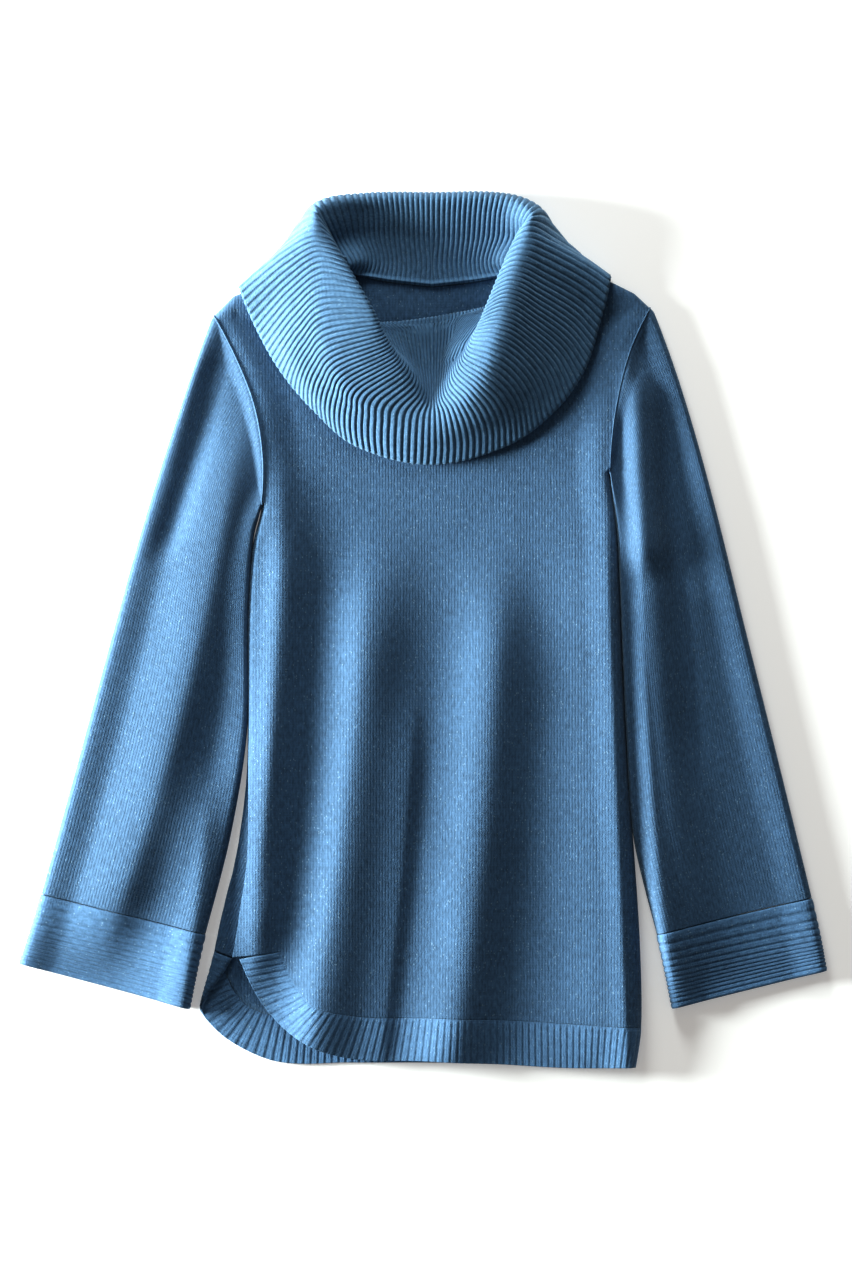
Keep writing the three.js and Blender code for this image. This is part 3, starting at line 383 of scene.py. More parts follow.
def body_point(flat_x, y, face):
    """A point of the body, with x counted along the cloth; past a side edge it goes round."""
    open_left = open_share(y, UNDERARM_LEFT_Y)
    open_right = open_share(y, UNDERARM_RIGHT_Y)
    left_roll = np.maximum(ROLL * (1 - open_left), LEAST_ROLL)
    right_roll = np.maximum(ROLL * (1 - open_right), LEAST_ROLL)
    from_left = flat_x - left_edge(y) + left_roll * QUARTER_SLACK
    from_right = right_edge(y) + right_roll * QUARTER_SLACK - flat_x
    is_left = from_left < from_right
    reach = np.where(is_left, from_left, from_right)
    roll = np.where(is_left, left_roll, right_roll)
    turn = np.clip(reach / roll, -math.pi / 2, math.pi / 2)
    past = np.maximum(np.abs(reach) - roll * math.pi / 2, 0)
    inset = roll * (1 - np.cos(turn)) + past
    x = np.where(is_left, left_edge(y) + inset, right_edge(y) - inset)
    bottom = body_bottom(x, y)
    half = (body_top(x, y) - bottom) / 2
    rise = np.maximum(np.sin(turn), np.where(is_left, open_left, open_right))
    z = bottom + half + face * half * rise * roll_share(shoulder_depth(x, y))
    return np.stack([x, y, z], axis=-1)


# The neck seam, by collar rib
neck_back = rows_curve([row for row in NECK if row[0] <= SHOULDER_RIB])
neck_front = rows_curve([row for row in NECK if row[0] >= SHOULDER_RIB])


def neck_at(rib):
    wrapped = np.mod(rib, COLLAR_RIBS)
    mirrored = wrapped > COLLAR_RIBS / 2
    half = np.where(mirrored, COLLAR_RIBS - wrapped, wrapped)
    point = np.where((half < SHOULDER_RIB)[..., None], neck_back(half), neck_front(half))
    x = np.where(mirrored, 2 * CENTRE_X - point[..., 0], point[..., 0])
    return np.stack([x, point[..., 1]], axis=-1)


def upper_edge(share, face):
    """Upper edge of a panel, from one shoulder tip to the other."""
    left_x = lerp(left_edge(np.float64(TIP_LEFT_Y)), 2 * CENTRE_X - HIGH_POINT_X,
                  np.clip(share / NECK_START, 0, 1))
    right_x = lerp(HIGH_POINT_X, right_edge(np.float64(TIP_RIGHT_Y)),
                   np.clip((share - NECK_END) / (1 - NECK_END), 0, 1))
    part = np.clip((share - NECK_START) / (NECK_END - NECK_START), 0, 1)
    if face < 0:
        neck = neck_at(lerp(SHOULDER_RIB, -SHOULDER_RIB, part))
    else:
        neck = neck_at(lerp(SHOULDER_RIB, COLLAR_RIBS - SHOULDER_RIB, biased(part, NECK_BIAS)))
    shoulder_x = np.where(share < 0.5, left_x, right_x)
    shoulder = np.stack([shoulder_x, shoulder_y(shoulder_x) - SHOULDER_TRIM], axis=-1)
    on_shoulder = (share <= NECK_START) | (share >= NECK_END)
    return np.where(on_shoulder[..., None], shoulder, neck)


def band_curve(rows):
    """A band's seam and edge by the share of the seam's length, and that length."""
    table = np.array(rows, float)
    lengths = np.concatenate([[0], np.cumsum(np.hypot(*np.diff(table[:, :2], axis=0).T))])
    at = curve_through(lengths, table)
    return lengths[-1], lambda share: at(share * lengths[-1])


front_band = band_curve(FRONT_BAND)
back_band = band_curve(BACK_BAND)


def band_point(band, share, down):
    """A point between a band's seam (0) and free edge (1)."""
    row = band[1](share)
    return lerp(row[..., :2], row[..., 2:], down[..., None])


def side_y(along, low_y, underarm_y, tip_y):
    lower = lerp(low_y, underarm_y, along / UNDERARM_ALONG)
    upper = lerp(underarm_y, tip_y, (along - UNDERARM_ALONG) / (1 - UNDERARM_ALONG))
    return np.where(along < UNDERARM_ALONG, lower, upper)


def left_side(along, face):
    y = side_y(along, HEM_LEFT_Y, UNDERARM_LEFT_Y, TIP_LEFT_Y)
    inset = SIDE_INSET * step(y, SIDE_INSET_TOP_Y, HEM_LEFT_Y)
    slack = ROLL * (1 - open_share(y, UNDERARM_LEFT_Y)) * QUARTER_SLACK
    return np.stack([left_edge(y) - slack + face * inset, y], axis=-1)


def right_side(along):
    y = side_y(along, HEM_RIGHT_Y, UNDERARM_RIGHT_Y, TIP_RIGHT_Y)
    slack = ROLL * (1 - open_share(y, UNDERARM_RIGHT_Y)) * QUARTER_SLACK
    return np.stack([right_edge(y) + slack, y], axis=-1)


def panel_flat(face):
    """Unrolled cloth of a panel: a patch between its four boundaries."""
    band = front_band if face > 0 else back_band
    vent_share = VENT_SHARE_FRONT if face > 0 else VENT_SHARE_BACK
    zero = np.float64(0)
    corner = left_side(zero, face)
    start = band_point(band, zero, zero)

    def low_edge(share):
        past = np.clip((share - vent_share) / (1 - vent_share), 0, 1)
        on_band = band_point(band, past, np.zeros_like(past))
        part = np.clip(share / vent_share, 0, 1)[..., None]
        on_vent = lerp(corner, start, part)
        return np.where((share >= vent_share)[..., None], on_band, on_vent)

    def flat(across, along):
        left, right = left_side(along, face), right_side(along)
        low_pull = np.clip(1 - along / LOW_REACH, 0, 1) ** 2
        high_pull = np.clip((along - HIGH_START) / (1 - HIGH_START), 0, 1) ** 2
        share = across[..., None]
        one = np.float64(1)
        low = low_edge(across) - lerp(corner, right_side(zero), share)
        high = upper_edge(across, face) - lerp(left_side(one, face), right_side(one), share)
        return lerp(left, right, share) + low * low_pull[..., None] + high * high_pull[..., None]

    return flat


# Meshes

class Grid:
    """Points over two rows of stations, with texture coordinates in millimetres of cloth."""

    def __init__(self, across, along, point_at, texture_at, period):
        self.across, self.along = np.asarray(across, float), np.asarray(along, float)
        u, v = np.meshgrid(self.across, self.along)
        self.points = point_at(u, v)
        ends = [self.across[0] + period] if period else []
        self.wide = np.concatenate([self.across, ends])
        self.texture = texture_at(*np.meshgrid(self.wide, self.along))
        self.first = 0

    def index(self, row, column):
        return self.first + row * len(self.across) + column % len(self.across)

    def faces(self, flipped):
        rows, columns = np.mgrid[0:len(self.along) - 1, 0:len(self.wide) - 1]
        corners = [(rows, columns), (rows, columns + 1),
                   (rows + 1, columns + 1), (rows + 1, columns)]
        if flipped:
            corners.reverse()
        faces = np.stack([self.index(r, c).ravel() for r, c in corners], axis=1)
        texture = np.stack([self.texture[r, c].reshape(-1, 2) for r, c in corners], axis=1)
        return faces, texture

    def edge(self, line, backwards=False):
        """The stations of one border: 'low' and 'high' rows, or 'start' and 'end' columns."""
        count = len(self.wide)
        if line in ("low", "high"):
            row = 0 if line == "low" else len(self.along) - 1
            found = [(self.wide[c], self.index(row, c), self.texture[row, c]) for c in range(count)]
        else:
            column = 0 if line == "start" else len(self.across) - 1
            found = [(self.along[r], self.index(r, column), self.texture[r, column])
                     for r in range(len(self.along))]
        if backwards:
            found = [(-station, index, texture) for station, index, texture in reversed(found)]
        return found


def rim(outer, inner):
    """Joins two edges span by span, in the order of the middles of their spans."""
    def middle(edge, i):
        return edge[i][0] + edge[i + 1][0] if i + 1 < len(edge) else math.inf

    faces, texture = [], []
    i = j = 0
    while i < len(outer) - 1 or j < len(inner) - 1:
        if middle(outer, i) <= middle(inner, j):
            corners = [outer[i + 1], outer[i], inner[j]]
            i += 1
        else:
            corners = [outer[i], inner[j], inner[j + 1]]
            j += 1
        faces.append([corner[1] for corner in corners])
        texture.append([corner[2] for corner in corners])
    return np.array(faces), np.array(texture)


def normals_of(surface, side, u_ends, v_ends):
    def normal_at(u, v):
        du = surface(np.clip(u + STEP, *u_ends), v) - surface(np.clip(u - STEP, *u_ends), v)
        dv = surface(u, np.clip(v + STEP, *v_ends)) - surface(u, np.clip(v - STEP, *v_ends))
        normal = np.cross(du, dv)
        return side * normal / np.maximum(np.linalg.norm(normal, axis=-1, keepdims=True), 1e-12)

    return normal_at


def cloth(name, surface, texture_at, across, along, inside_across, inside_along,
          side=1, thickness=CLOTH, period=0, relief=None, inside_relief=None):
    """A closed wall: both faces may carry a relief, and the inner one lies a wall inside."""
    u_ends = (-math.inf, math.inf) if period else (across[0], across[-1])
    normal_at = normals_of(surface, side, u_ends, (along[0], along[-1]))

    def outer_at(u, v):
        raised = relief(u, v)[..., None] if relief else 0
        return surface(u, v) + normal_at(u, v) * raised

    def inner_at(u, v):
        raised = inside_relief(u, v)[..., None] if inside_relief else 0
        return surface(u, v) - normal_at(u, v) * (thickness + raised)

    outer = Grid(across, along, outer_at, texture_at, period)
    inner = Grid(inside_across, inside_along, inner_at, texture_at, period)
    inner.first = outer.points.shape[0] * outer.points.shape[1]
    parts = [
        outer.faces(False),
        inner.faces(True),
        rim(outer.edge("low"), inner.edge("low")),
        rim(outer.edge("high", True), inner.edge("high", True)),
    ]
    if not period:
        parts.append(rim(outer.edge("start", True), inner.edge("start", True)))
        parts.append(rim(outer.edge("end"), inner.edge("end")))
    points = np.concatenate([outer.points.reshape(-1, 3), inner.points.reshape(-1, 3)])
    return mesh_object(name, points, parts, side)


def mesh_object(name, points, parts, side):
    """Makes the Blender object from points in millimetres and groups of faces."""
    faces, texture = [], []
    for part_faces, part_texture in parts:
        order = slice(None) if side > 0 else slice(None, None, -1)
        faces.extend(part_faces[:, order].tolist())
        texture.append(part_texture[:, order].reshape(-1, 2))
    mesh = bpy.data.meshes.new(name)
    mesh.from_pydata(((points + TO_FRAME) * MM).tolist(), [], faces)
    layer = mesh.uv_layers.new(name="cloth")
    layer.data.foreach_set("uv", (np.concatenate(texture) * UV_SCALE).astype(np.float32).ravel())
    mesh.shade_smooth()
    mesh.validate()
    mesh.update()
    piece = bpy.data.objects.new(name, mesh)
    bpy.context.scene.collection.objects.link(piece)
    return piece


# Stations
def spread(stations, count):
    """More stations between the given ones, in proportion to their spans."""
    stations = np.asarray(stations, float)
    place = np.linspace(0, len(stations) - 1, count)
    return np.interp(place, np.arange(len(stations)), stations)


def joined(*runs):
    return np.unique(np.round(np.concatenate([np.atleast_1d(run) for run in runs]), 9))


def panel_rows(side_count, armhole):
    below = spread([*SIDE_STATIONS, 1], side_count)[:-1] * UNDERARM_ALONG
    return np.concatenate([below, lerp(UNDERARM_ALONG, 1, np.asarray(armhole))])


def dense_ends(count):
    """Shares from 0 to 1 with the rolled ends sampled closely."""
    middle = np.linspace(EDGE_DENSE[-1], 1 - EDGE_DENSE[-1], count)
    return joined(EDGE_DENSE, middle, 1 - np.array(EDGE_DENSE))


def ring_of(top, ground):
    return np.concatenate([np.sort(1 - np.asarray(top)), 1 + np.asarray(ground)[1:-1]])


# Body
def panel(name, face, across_count, rows):
    flat = panel_flat(face)
    vent_share = VENT_SHARE_FRONT if face > 0 else VENT_SHARE_BACK
    shares = joined(np.linspace(0, 1, across_count), vent_share, NECK_START, NECK_END,
                    1 - np.array(EDGE_DENSE) / 2, np.array(EDGE_DENSE) / 2)
    inside = joined(np.linspace(0, 1, across_count // 2), vent_share, NECK_START, NECK_END)

    def surface(u, v):
        point = flat(u, v)
        return body_point(point[..., 0], point[..., 1], face)

    inside_rows = np.concatenate([rows[:-1:2], rows[-1:]])
    return cloth(name, surface, flat, shares, rows, inside, inside_rows, side=face)


# Reliefs
def ribbed(place, sharpness=RIB_SHARPNESS):
    """Height of the ribs by their count from a groove: rounded tops with narrow grooves."""
    return np.abs(np.sin(math.pi * place)) ** sharpness


def above_ground(points):
    return step(points[..., 2], GROUND_CLEAR, RIBS_FULL)


def bump(distance, place, width):
    return np.exp(-(((distance - place) / width) ** 2))


def hem_band(name, face):
    band = front_band if face > 0 else back_band
    length = band[0]
    ribs = round(length / BAND_PITCH)

    def flat(across, along):
        share = lerp(VENT_GAP / length, 1, across)
        return band_point(band, share, along)

    def surface(across, along):
        point = flat(across, along)
        return body_point(point[..., 0], point[..., 1], face)

    def texture_at(across, along):
        return np.stack([across * ribs * BAND_PITCH, along * BAND_WIDTH], axis=-1)

    def ribs_at(across, along):
        return BAND_RISE * ribbed(across * ribs) * step(along, 0, RIB_START)

    def relief(across, along):
        return ribs_at(across, along) * above_ground(surface(across, along))

    fine = (np.linspace(0, 1, ribs * BAND_POINTS_A_RIB + 1), spread(BAND_STATIONS, BAND_ALONG))
    coarse = (np.linspace(0, 1, ribs * BAND_INSIDE_POINTS_A_RIB + 1),
              np.linspace(0, 1, BAND_INSIDE_ALONG))
    if face > 0:
        return cloth(name, surface, texture_at, *fine, *coarse, side=-1, relief=relief)
    return cloth(name, surface, texture_at, *coarse, *fine, side=1, inside_relief=ribs_at)


# Sleeves and cuffs
def sleeve_surface(sections, body_edge, outward):
    table = np.array(sections, float)
    section_at = rows_curve(sections)
    outer_x, outer_y, inner_x, inner_y = table[0, 1:]
    upper = table[table[:, 0] <= 1]
    length = np.hypot(*np.diff(upper[:, 1:3], axis=0).T).sum()

    def place(ring, along):
        around = np.mod(ring, 2)
        share = np.where(around <= 1, around, 2 - around)
        row = section_at(along)
        armhole_y = lerp(outer_y, inner_y, share)
        gap = TIP_GAP * (1 - step(share, 0, TIP_SHARE))
        bow = body_edge(armhole_y) + outward * gap - lerp(outer_x, inner_x, share)
        pull = np.clip(1 - along / ARMHOLE_REACH, 0, 1) ** 2
        x = lerp(row[..., 0], row[..., 2], share) + bow * pull
        y = lerp(row[..., 1], row[..., 3], share)
        width = np.hypot(row[..., 0] - row[..., 2], row[..., 1] - row[..., 3])
        return x, y, share, width, around

    def surface(ring, along):
        x, y, share, width, around = place(ring, along)
        from_edge = np.minimum(share, 1 - share) * width
        half = top_height(x, y, np.minimum(from_edge, along * length)) / 2
        face = np.where(around <= 1, 1, -1)
        return np.stack([x, y, half + face * half * roll_share(from_edge)], axis=-1)

    return surface, length


def sleeve(name, tube, side):
    surface, length = tube

    def texture_at(ring, along):
        return np.stack([ring * SLEEVE_WIDTH, along * length], axis=-1)

    def relief(ring, along):
        seam = bump(along * length, SEAM_PLACE, SEAM_WIDTH)
        return SEAM_RISE * seam * above_ground(surface(ring, along))

    ring = ring_of(dense_ends(SLEEVE_TOP), dense_ends(SLEEVE_GROUND))
    inside = ring_of(dense_ends(TUBE_INSIDE_TOP), dense_ends(TUBE_INSIDE_GROUND))
    along = joined(spread(SLEEVE_STATIONS, SLEEVE_ALONG),
                   np.linspace(0, 2 * SEAM_PLACE / length, SLEEVE_SEAM_ALONG))
    return cloth(name, surface, texture_at, ring, along,
                 inside, spread(SLEEVE_INSIDE_STATIONS, SLEEVE_INSIDE_ALONG),
                 side=side, period=2, relief=relief)


def cuff(name, tube, side):
    surface = tube[0]
    start = 1 + CUFF_SEAM

    def ridge_at(along):
        return (along - start) / (2 - start) * CUFF_RIDGES

    def relief(ring, along):
        return CUFF_RISE * ribbed(ridge_at(along)) * above_ground(surface(ring, along))

    def texture_at(ring, along):
        return np.stack([ridge_at(along) * BAND_PITCH, ring * SLEEVE_WIDTH], axis=-1)

    ring = ring_of(dense_ends(CUFF_TOP), dense_ends(CUFF_GROUND))
    inside = ring_of(dense_ends(TUBE_INSIDE_TOP), dense_ends(TUBE_INSIDE_GROUND))
    return cloth(name, surface, texture_at,
                 ring, np.linspace(start, 2, CUFF_RIDGES * CUFF_POINTS_A_RIDGE + 1),
                 inside, np.linspace(start, 2, CUFF_INSIDE_ALONG),
                 side=side, period=2, relief=relief)


# Collar
def collar_curves():
    """Each column of the collar's table as a closed curve by rib."""
    curves = {}
    for column, name in enumerate(COLLAR_COLUMNS[1:], start=1):
        rows = []
        for turn, run in ((-1, COLLAR[-3:]), (0, COLLAR), (1, COLLAR[:3])):
            for row in run:
                value = row[column] if isinstance(row[column], tuple) else (row[column], 0, 0)
                rows.append((row[0] + turn * COLLAR_RIBS, *value))
        curves[name] = rows_curve(rows)
    return curves


collar_lines = collar_curves()


def collar_section(rib):
    """The guide points of a collar section, from the neck seam to the free edge."""
    lean = np.radians(collar_lines["lean"](rib)[..., 0])
    cos, sin = np.cos(lean), np.sin(lean)
    seam, ahead, behind = neck_at(rib), neck_at(rib + 0.5), neck_at(rib - 0.5)
    inward = np.stack([behind[..., 1] - ahead[..., 1], ahead[..., 0] - behind[..., 0],
                       np.zeros_like(cos)], axis=-1)
    inward = inward / np.linalg.norm(inward, axis=-1, keepdims=True)
    seam_z = lerp(SEAM_MID_FRONT, SEAM_MID_BACK, np.clip(-cos, 0, 1))
    hump = np.where(lean > math.pi / 2, sin * SEAM_HUMP, 0)
    start = np.stack([seam[..., 0], seam[..., 1], seam_z + hump - cos * RIB_CLOTH / 2], axis=-1)
    clearance = NECK_GAP * cos + (NECK_GAP + RIB_CLOTH) * sin
    start = start + inward * clearance[..., None]
    crest, brow = collar_lines["crest"](rib), collar_lines["brow"](rib)
    reach = STAND_SHARE * np.linalg.norm(start - crest, axis=-1)
    up = np.array([0, 0, 1])
    stand = start + inward * (cos * reach)[..., None] + up * (sin * reach)[..., None]
    hollow = lerp(crest, brow, DIP_PLACE) - up * collar_lines["dip"](rib)[..., :1]
    rest = [collar_lines[name](rib) for name in ("ridge", "roll", "fall", "edge")]
    return np.stack([start, stand, crest, hollow, brow, *rest], axis=-2)


def collar_surface(rib, along):
    points = collar_section(rib)
    count = points.shape[-2]
    i = np.clip(np.floor(along).astype(int), 0, count - 2)
    s = (along - i)[..., None]

    def take(place):
        inside = np.clip(place, 0, count - 1)[..., None, None]
        return np.take_along_axis(points, inside, axis=-2)[..., 0, :]

    start, end = take(i), take(i + 1)
    before = np.where((i == 0)[..., None], 2 * start - end, take(i - 1))
    after = np.where((i + 2 > count - 1)[..., None], 2 * end - start, take(i + 2))
    rise = s * s * (3 - 2 * s)
    point = (lerp(start, end, rise) + s * (1 - s) ** 2 * (end - before) / 2
             + s * s * (s - 1) * (after - start) / 2)
    wrapped = np.mod(rib, COLLAR_RIBS)
    in_front = (wrapped > COLLAR_OVER_FIRST) & (wrapped < COLLAR_OVER_LAST)
    over = (along > COLLAR_RIDGE_PLACE) & in_front
    rest = np.where(over, body_top(point[..., 0], point[..., 1]) + COLLAR_REST, 0)
    point[..., 2] = np.maximum(point[..., 2], rest)
    return point


def collar(name):
    def ribs_at(rib, along):
        here, beside = collar_surface(rib, along), collar_surface(rib + RIB_STEP, along)
        pitch = np.linalg.norm(beside - here, axis=-1) / RIB_STEP / FINE_RIBS
        rise = COLLAR_RISE * np.minimum(COLLAR_FULL_RISE * pitch / RIB_PITCH, 1)
        rise = rise * step(along, RIB_START, COLLAR_RIB_FULL)
        return rise * ribbed(rib * FINE_RIBS + 0.5, COLLAR_SHARPNESS) * above_ground(here)

    def relief(rib, along):
        bead = BEAD_RISE * bump(along, BEAD_PLACE, BEAD_WIDTH)
        return ribs_at(rib, along) + bead * above_ground(collar_surface(rib, along))

    def texture_at(rib, along):
        return np.stack([(rib * FINE_RIBS + 0.5) * RIB_PITCH, along * COLLAR_STRIP], axis=-1)

    outer = np.arange(COLLAR_RIBS * COLLAR_POINTS_A_RIB) / COLLAR_POINTS_A_RIB
    inner = np.arange(COLLAR_RIBS * COLLAR_INSIDE_POINTS_A_RIB) / COLLAR_INSIDE_POINTS_A_RIB
    return cloth(name, collar_surface, texture_at,
                 outer, spread(COLLAR_STATIONS, COLLAR_ALONG),
                 inner, spread(COLLAR_STATIONS, COLLAR_INSIDE_ALONG),
                 side=-1, thickness=RIB_CLOTH, period=COLLAR_RIBS,
                 relief=relief, inside_relief=ribs_at)


# Materials
class Nodes:
    """Short calls for a material's nodes."""

    def __init__(self, material):
        self.tree = material.node_tree

    def add(self, kind, inputs=(), **settings):
        node = self.tree.nodes.new(kind)
        for key, value in settings.items():
            setattr(node, key, value)
        for socket, value in dict(inputs).items():
            if isinstance(value, bpy.types.NodeSocket):
                self.tree.links.new(value, node.inputs[socket])
            else:
                node.inputs[socket].default_value = value
        return node

    def sum(self, operation, first, second=0.0, third=0.0):
        node = self.add("ShaderNodeMath", {0: first, 1: second, 2: third}, operation=operation)
        return node.outputs[0]

    def mixed(self, share, first, second):
        node = self.add("ShaderNodeMix", {0: share, 6: first, 7: second}, data_type="RGBA")
        return node.outputs[2]


# Noises of the knit: scale, detail, stretch
WANDER = (4.0, 2.0, (1, 1, 1))
FUZZ = (60.0, 5.0, (1.5, 1, 1))
HEATHER = (26.0, 4.0, (1.7, 0.6, 1))
PATCHES = (1.6, 2.0, (1, 0.5, 1))
NOISE_ROUGHNESS = 0.65

# Heights of the knit
COURSE = 2.4
COURSE_SLANT = 1.4
WALE_WANDER = 0.012
WALE_HEIGHT = 0.4
STITCH_HEIGHT = 0.2
FUZZ_HEIGHT = 1.5
BUMP_STRENGTH = 0.75
KNIT_DEPTH = 0.55

# Tones of the knit
DARK_SHARE, LIGHT_SHARE = 0.5, 1.45  # of the yarn's colour
HEATHER_TONE = 1.5
PATCH_TONE = 0.5
# painted shade: the colour is lighter on the raised wales and stitches and darker in the gaps
# between them
WEAVE_TONE = 0.25
TONE_SHIFT = 0.6
# painted shade: the grooves between ribs are darkened towards this share of the yarn's colour
GROOVE_SHADOW_SHARE = 0.2
FLECK_CELLS = (75.0, 45.0, 1.0)
FLECK_RADIUS = 0.34
FLECK_SHARE = 0.09
FLECK_STRENGTH = 0.17
PALE_FLECK = (0.55, 0.76, 0.88, 1)

# The same all over a knit
KNIT_FINISH = {
    "Roughness": 0.85,
    "Specular IOR Level": 0.2,
    "Sheen Weight": 0.22,
    "Sheen Roughness": 0.5,
    "Sheen Tint": (0.8, 0.95, 1.0, 1),
}

# Knits: colour, pitch of the wales, pitch of the ribs, painted shade in the grooves between ribs
KNITS = {
    "knit_plain": ((0.064, 0.125, 0.215), 2.7, 0, 0),
    # The band and rib knits are lighter copies of the plain knit's yarn: painted light that
    # brightens the cuffs, hem bands and cowl
    "knit_band": ((0.085, 0.168, 0.29), BAND_PITCH / 2, BAND_PITCH, 0.2),
    "knit_rib": ((0.1, 0.195, 0.32), RIB_PITCH / 2, RIB_PITCH, 0.5),
}


def shaded(colour, share):
    return (*[channel * share for channel in colour], 1)


def knit(name, yarn, wale, rib_pitch, groove):
    """Brushed knit cloth with columns of stitches; its ribs, if it has any, are painted shade in
    their grooves.
    """
    material = bpy.data.materials.new(name)
    material.use_nodes = True
    nodes = Nodes(material)
    shader = nodes.tree.nodes["Principled BSDF"]
    cloth_map = nodes.add("ShaderNodeUVMap", uv_map="cloth").outputs[0]
    across, along = nodes.add("ShaderNodeSeparateXYZ", {0: cloth_map}).outputs[:2]

    def noise(scale, detail, stretch):
        place = nodes.add("ShaderNodeMapping", {"Vector": cloth_map, "Scale": stretch}).outputs[0]
        made = nodes.add("ShaderNodeTexNoise", {"Vector": place, "Scale": scale, "Detail": detail,
                                                "Roughness": NOISE_ROUGHNESS})
        return made.outputs[0]

    def columns(pitch, place):
        turns = nodes.sum("MULTIPLY", place, math.pi / (pitch * UV_SCALE))
        return nodes.sum("ABSOLUTE", nodes.sum("SINE", turns))

    wales = columns(wale, nodes.sum("MULTIPLY_ADD", noise(*WANDER), WALE_WANDER, across))
    slant = nodes.sum("MULTIPLY", wales, COURSE_SLANT)
    rows = nodes.sum("MULTIPLY_ADD", along, 2 * math.pi / (COURSE * UV_SCALE), slant)
    stitch = nodes.sum("MULTIPLY_ADD", nodes.sum("SINE", rows), 0.5, 0.5)
    ridge = nodes.sum("MULTIPLY", wales, WALE_HEIGHT)
    weave = nodes.sum("MULTIPLY_ADD", stitch, STITCH_HEIGHT, ridge)
    height = nodes.sum("MULTIPLY_ADD", noise(*FUZZ), FUZZ_HEIGHT, weave)
    bumped = nodes.add("ShaderNodeBump", {"Strength": BUMP_STRENGTH, "Distance": KNIT_DEPTH * MM,
                                          "Height": height})

    patchy = nodes.sum("MULTIPLY", noise(*PATCHES), PATCH_TONE)
    tone = nodes.sum("MULTIPLY_ADD", noise(*HEATHER), HEATHER_TONE, patchy)
    # Painted shade between the stitches from the weave's height, added to the random heather and
    # patches
    light = nodes.sum("MULTIPLY_ADD", weave, WEAVE_TONE, nodes.sum("SUBTRACT", tone, TONE_SHIFT))
    ground = nodes.mixed(light, shaded(yarn, DARK_SHARE), shaded(yarn, LIGHT_SHARE))

    stretched = nodes.add("ShaderNodeMapping", {"Vector": cloth_map, "Scale": FLECK_CELLS})
    cells = nodes.add("ShaderNodeTexVoronoi", {"Vector": stretched.outputs[0], "Scale": 1.0})
    chosen = nodes.add("ShaderNodeSeparateColor", {0: cells.outputs["Color"]}).outputs[0]
    rare = nodes.sum("GREATER_THAN", chosen, 1 - FLECK_SHARE)
    near = nodes.sum("LESS_THAN", cells.outputs["Distance"], FLECK_RADIUS)
    fleck = nodes.sum("MULTIPLY", nodes.sum("MULTIPLY", rare, near), FLECK_STRENGTH)
    colour = nodes.mixed(fleck, ground, PALE_FLECK)
    # Painted shade in the grooves between ribs, deepest in the middle of each groove
    if rib_pitch:
        crown = nodes.sum("POWER", columns(rib_pitch, across), COLLAR_SHARPNESS)
        shadow = nodes.sum("MULTIPLY", nodes.sum("SUBTRACT", 1, crown), groove)
        colour = nodes.mixed(shadow, colour, shaded(yarn, GROOVE_SHADOW_SHARE))
    nodes.tree.links.new(colour, shader.inputs["Base Color"])
    nodes.tree.links.new(bumped.outputs[0], shader.inputs["Normal"])
    for socket, value in KNIT_FINISH.items():
        shader.inputs[socket].default_value = value
    return material


# The garment
front_rows = panel_rows(FRONT_SIDE, spread(ARMHOLE_STATIONS, FRONT_ARMHOLE))
back_rows = panel_rows(BACK_SIDE, spread(ARMHOLE_STATIONS, BACK_ARMHOLE))
right_tube = sleeve_surface(SLEEVE_RIGHT, left_edge, -1)
left_tube = sleeve_surface(SLEEVE_LEFT, right_edge, 1)

# Pieces: node, knit, maker
MAKERS = [
    ("front_panel", "knit_plain", lambda name: panel(name, 1, FRONT_ACROSS, front_rows)),
    ("back_panel", "knit_plain", lambda name: panel(name, -1, BACK_ACROSS, back_rows)),
    ("sleeve_right", "knit_plain", lambda name: sleeve(name, right_tube, -1)),
    ("sleeve_left", "knit_plain", lambda name: sleeve(name, left_tube, 1)),
    ("cuff_right", "knit_band", lambda name: cuff(name, right_tube, -1)),
    ("cuff_left", "knit_band", lambda name: cuff(name, left_tube, 1)),
    ("hem_band_front", "knit_band", lambda name: hem_band(name, 1)),
    ("hem_band_back", "knit_band", lambda name: hem_band(name, -1)),
    ("cowl", "knit_rib", collar),
]


# Stage, in metres
FLOOR_HALF = 6.0
FLOOR_Z = -0.0004
FLOOR_TONE = (0.9, 0.9, 0.9, 1)
FLOOR_ROUGHNESS = 0.9
FLOOR_GLOW = 0.17
CAMERA_AIM = (0.0027, -0.0081)
CAMERA_DISTANCE = 4.0
PHOTO_HEIGHT = 1278
PHOTO_PIXEL = 0.0009
SENSOR = 36

# Disk lights aimed at the origin: place, size, power, colour
LIGHTS = {
    "key": ((-2.1, 0.15, 0.4), 0.9, 215, (0.93, 1.0, 0.98)),
    "top": ((-0.5, 2.0, 0.9), 0.8, 30, (0.95, 1.0, 0.98)),
    "fill": ((0.2, -0.7, 2.5), 1.8, 3, (1.0, 0.94, 0.86)),
}
AMBIENT = (1.0, 0.93, 0.85, 1)
AMBIENT_STRENGTH = 0.16


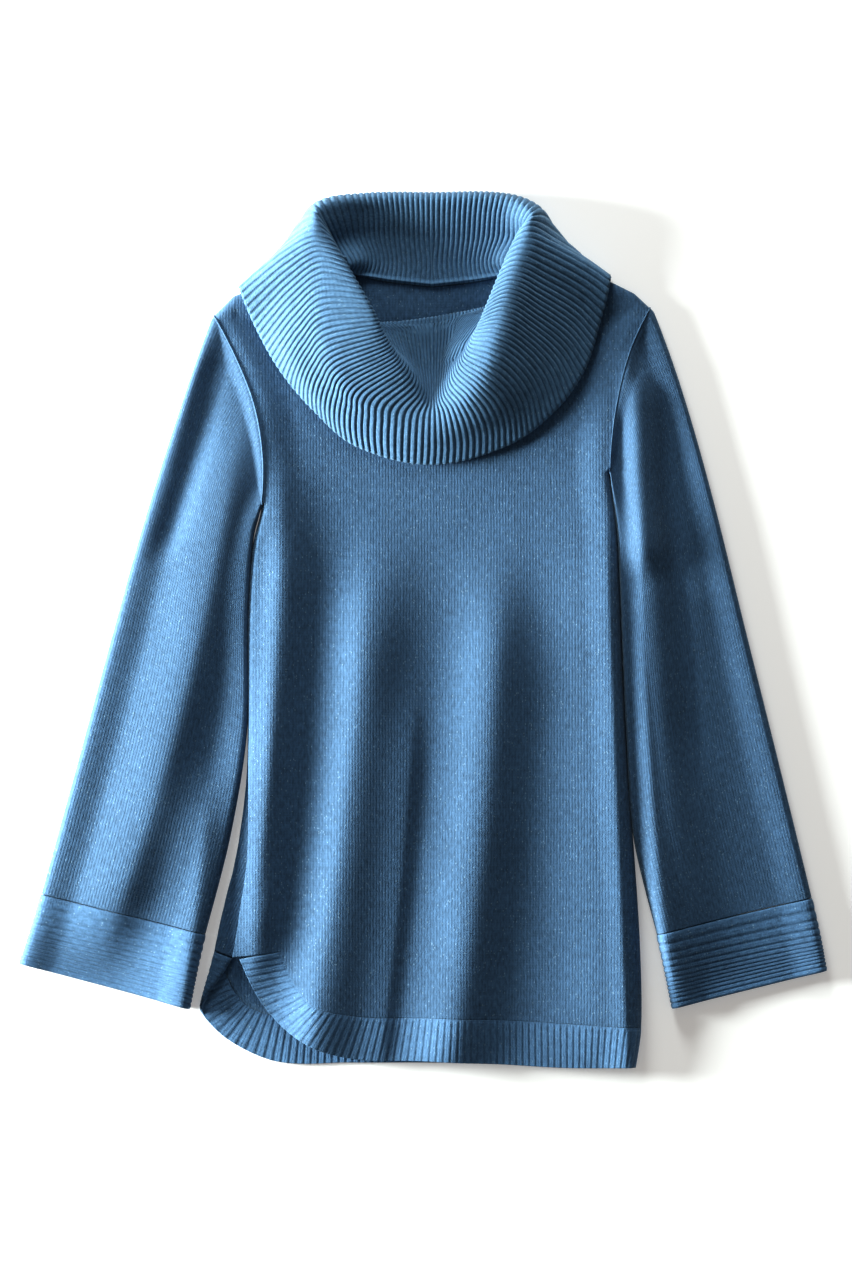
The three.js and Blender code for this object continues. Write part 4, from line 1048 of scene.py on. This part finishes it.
def floor():
    mesh = bpy.data.meshes.new("floor")
    half = FLOOR_HALF
    mesh.from_pydata([(-half, -half, 0), (half, -half, 0), (half, half, 0), (-half, half, 0)], [],
                     [(0, 1, 2, 3)])
    made = bpy.data.objects.new("floor", mesh)
    made.location.z = FLOOR_Z
    bpy.context.scene.collection.objects.link(made)
    material = bpy.data.materials.new("floor")
    material.use_nodes = True
    shader = material.node_tree.nodes["Principled BSDF"]
    shader.inputs["Base Color"].default_value = FLOOR_TONE
    shader.inputs["Roughness"].default_value = FLOOR_ROUGHNESS
    shader.inputs["Specular IOR Level"].default_value = 0.0
    shader.inputs["Emission Color"].default_value = (1, 1, 1, 1)
    shader.inputs["Emission Strength"].default_value = FLOOR_GLOW
    mesh.materials.append(material)
    return made


def disk_light(name, place, size, power, colour):
    data = bpy.data.lights.new(name, "AREA")
    data.shape = "DISK"
    data.size = size
    data.energy = power
    data.color = colour
    lamp = bpy.data.objects.new(name, data)
    lamp.location = place
    lamp.rotation_euler = (-Vector(place)).to_track_quat("-Z", "Y").to_euler()
    bpy.context.scene.collection.objects.link(lamp)


def ambient_light():
    world = bpy.context.scene.world or bpy.data.worlds.new("world")
    bpy.context.scene.world = world
    world.use_nodes = True
    background = world.node_tree.nodes["Background"]
    background.inputs["Color"].default_value = AMBIENT
    background.inputs["Strength"].default_value = AMBIENT_STRENGTH


def camera():
    """Straight overhead, with the frame of the photograph."""
    data = bpy.data.cameras.new("camera")
    data.sensor_fit = "VERTICAL"
    data.sensor_height = SENSOR
    data.lens = SENSOR * CAMERA_DISTANCE / (PHOTO_HEIGHT * PHOTO_PIXEL)
    made = bpy.data.objects.new("camera", data)
    made.location = (CAMERA_AIM[0] + TO_FRAME[0] * MM, CAMERA_AIM[1] + TO_FRAME[1] * MM,
                     CAMERA_DISTANCE)
    bpy.context.scene.collection.objects.link(made)
    bpy.context.scene.camera = made


knits = {name: knit(name, *row) for name, row in KNITS.items()}
ground = floor()
for node, slot, make in MAKERS:
    piece = make(f"{node}_knit")
    piece.data.materials.append(knits[slot])
    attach(piece, "root")
    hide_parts(node)

camera()
for name, row in LIGHTS.items():
    disk_light(name, *row)
ambient_light()
bpy.context.scene.view_settings.view_transform = "Standard"
bpy.context.scene.view_settings.look = "High Contrast"
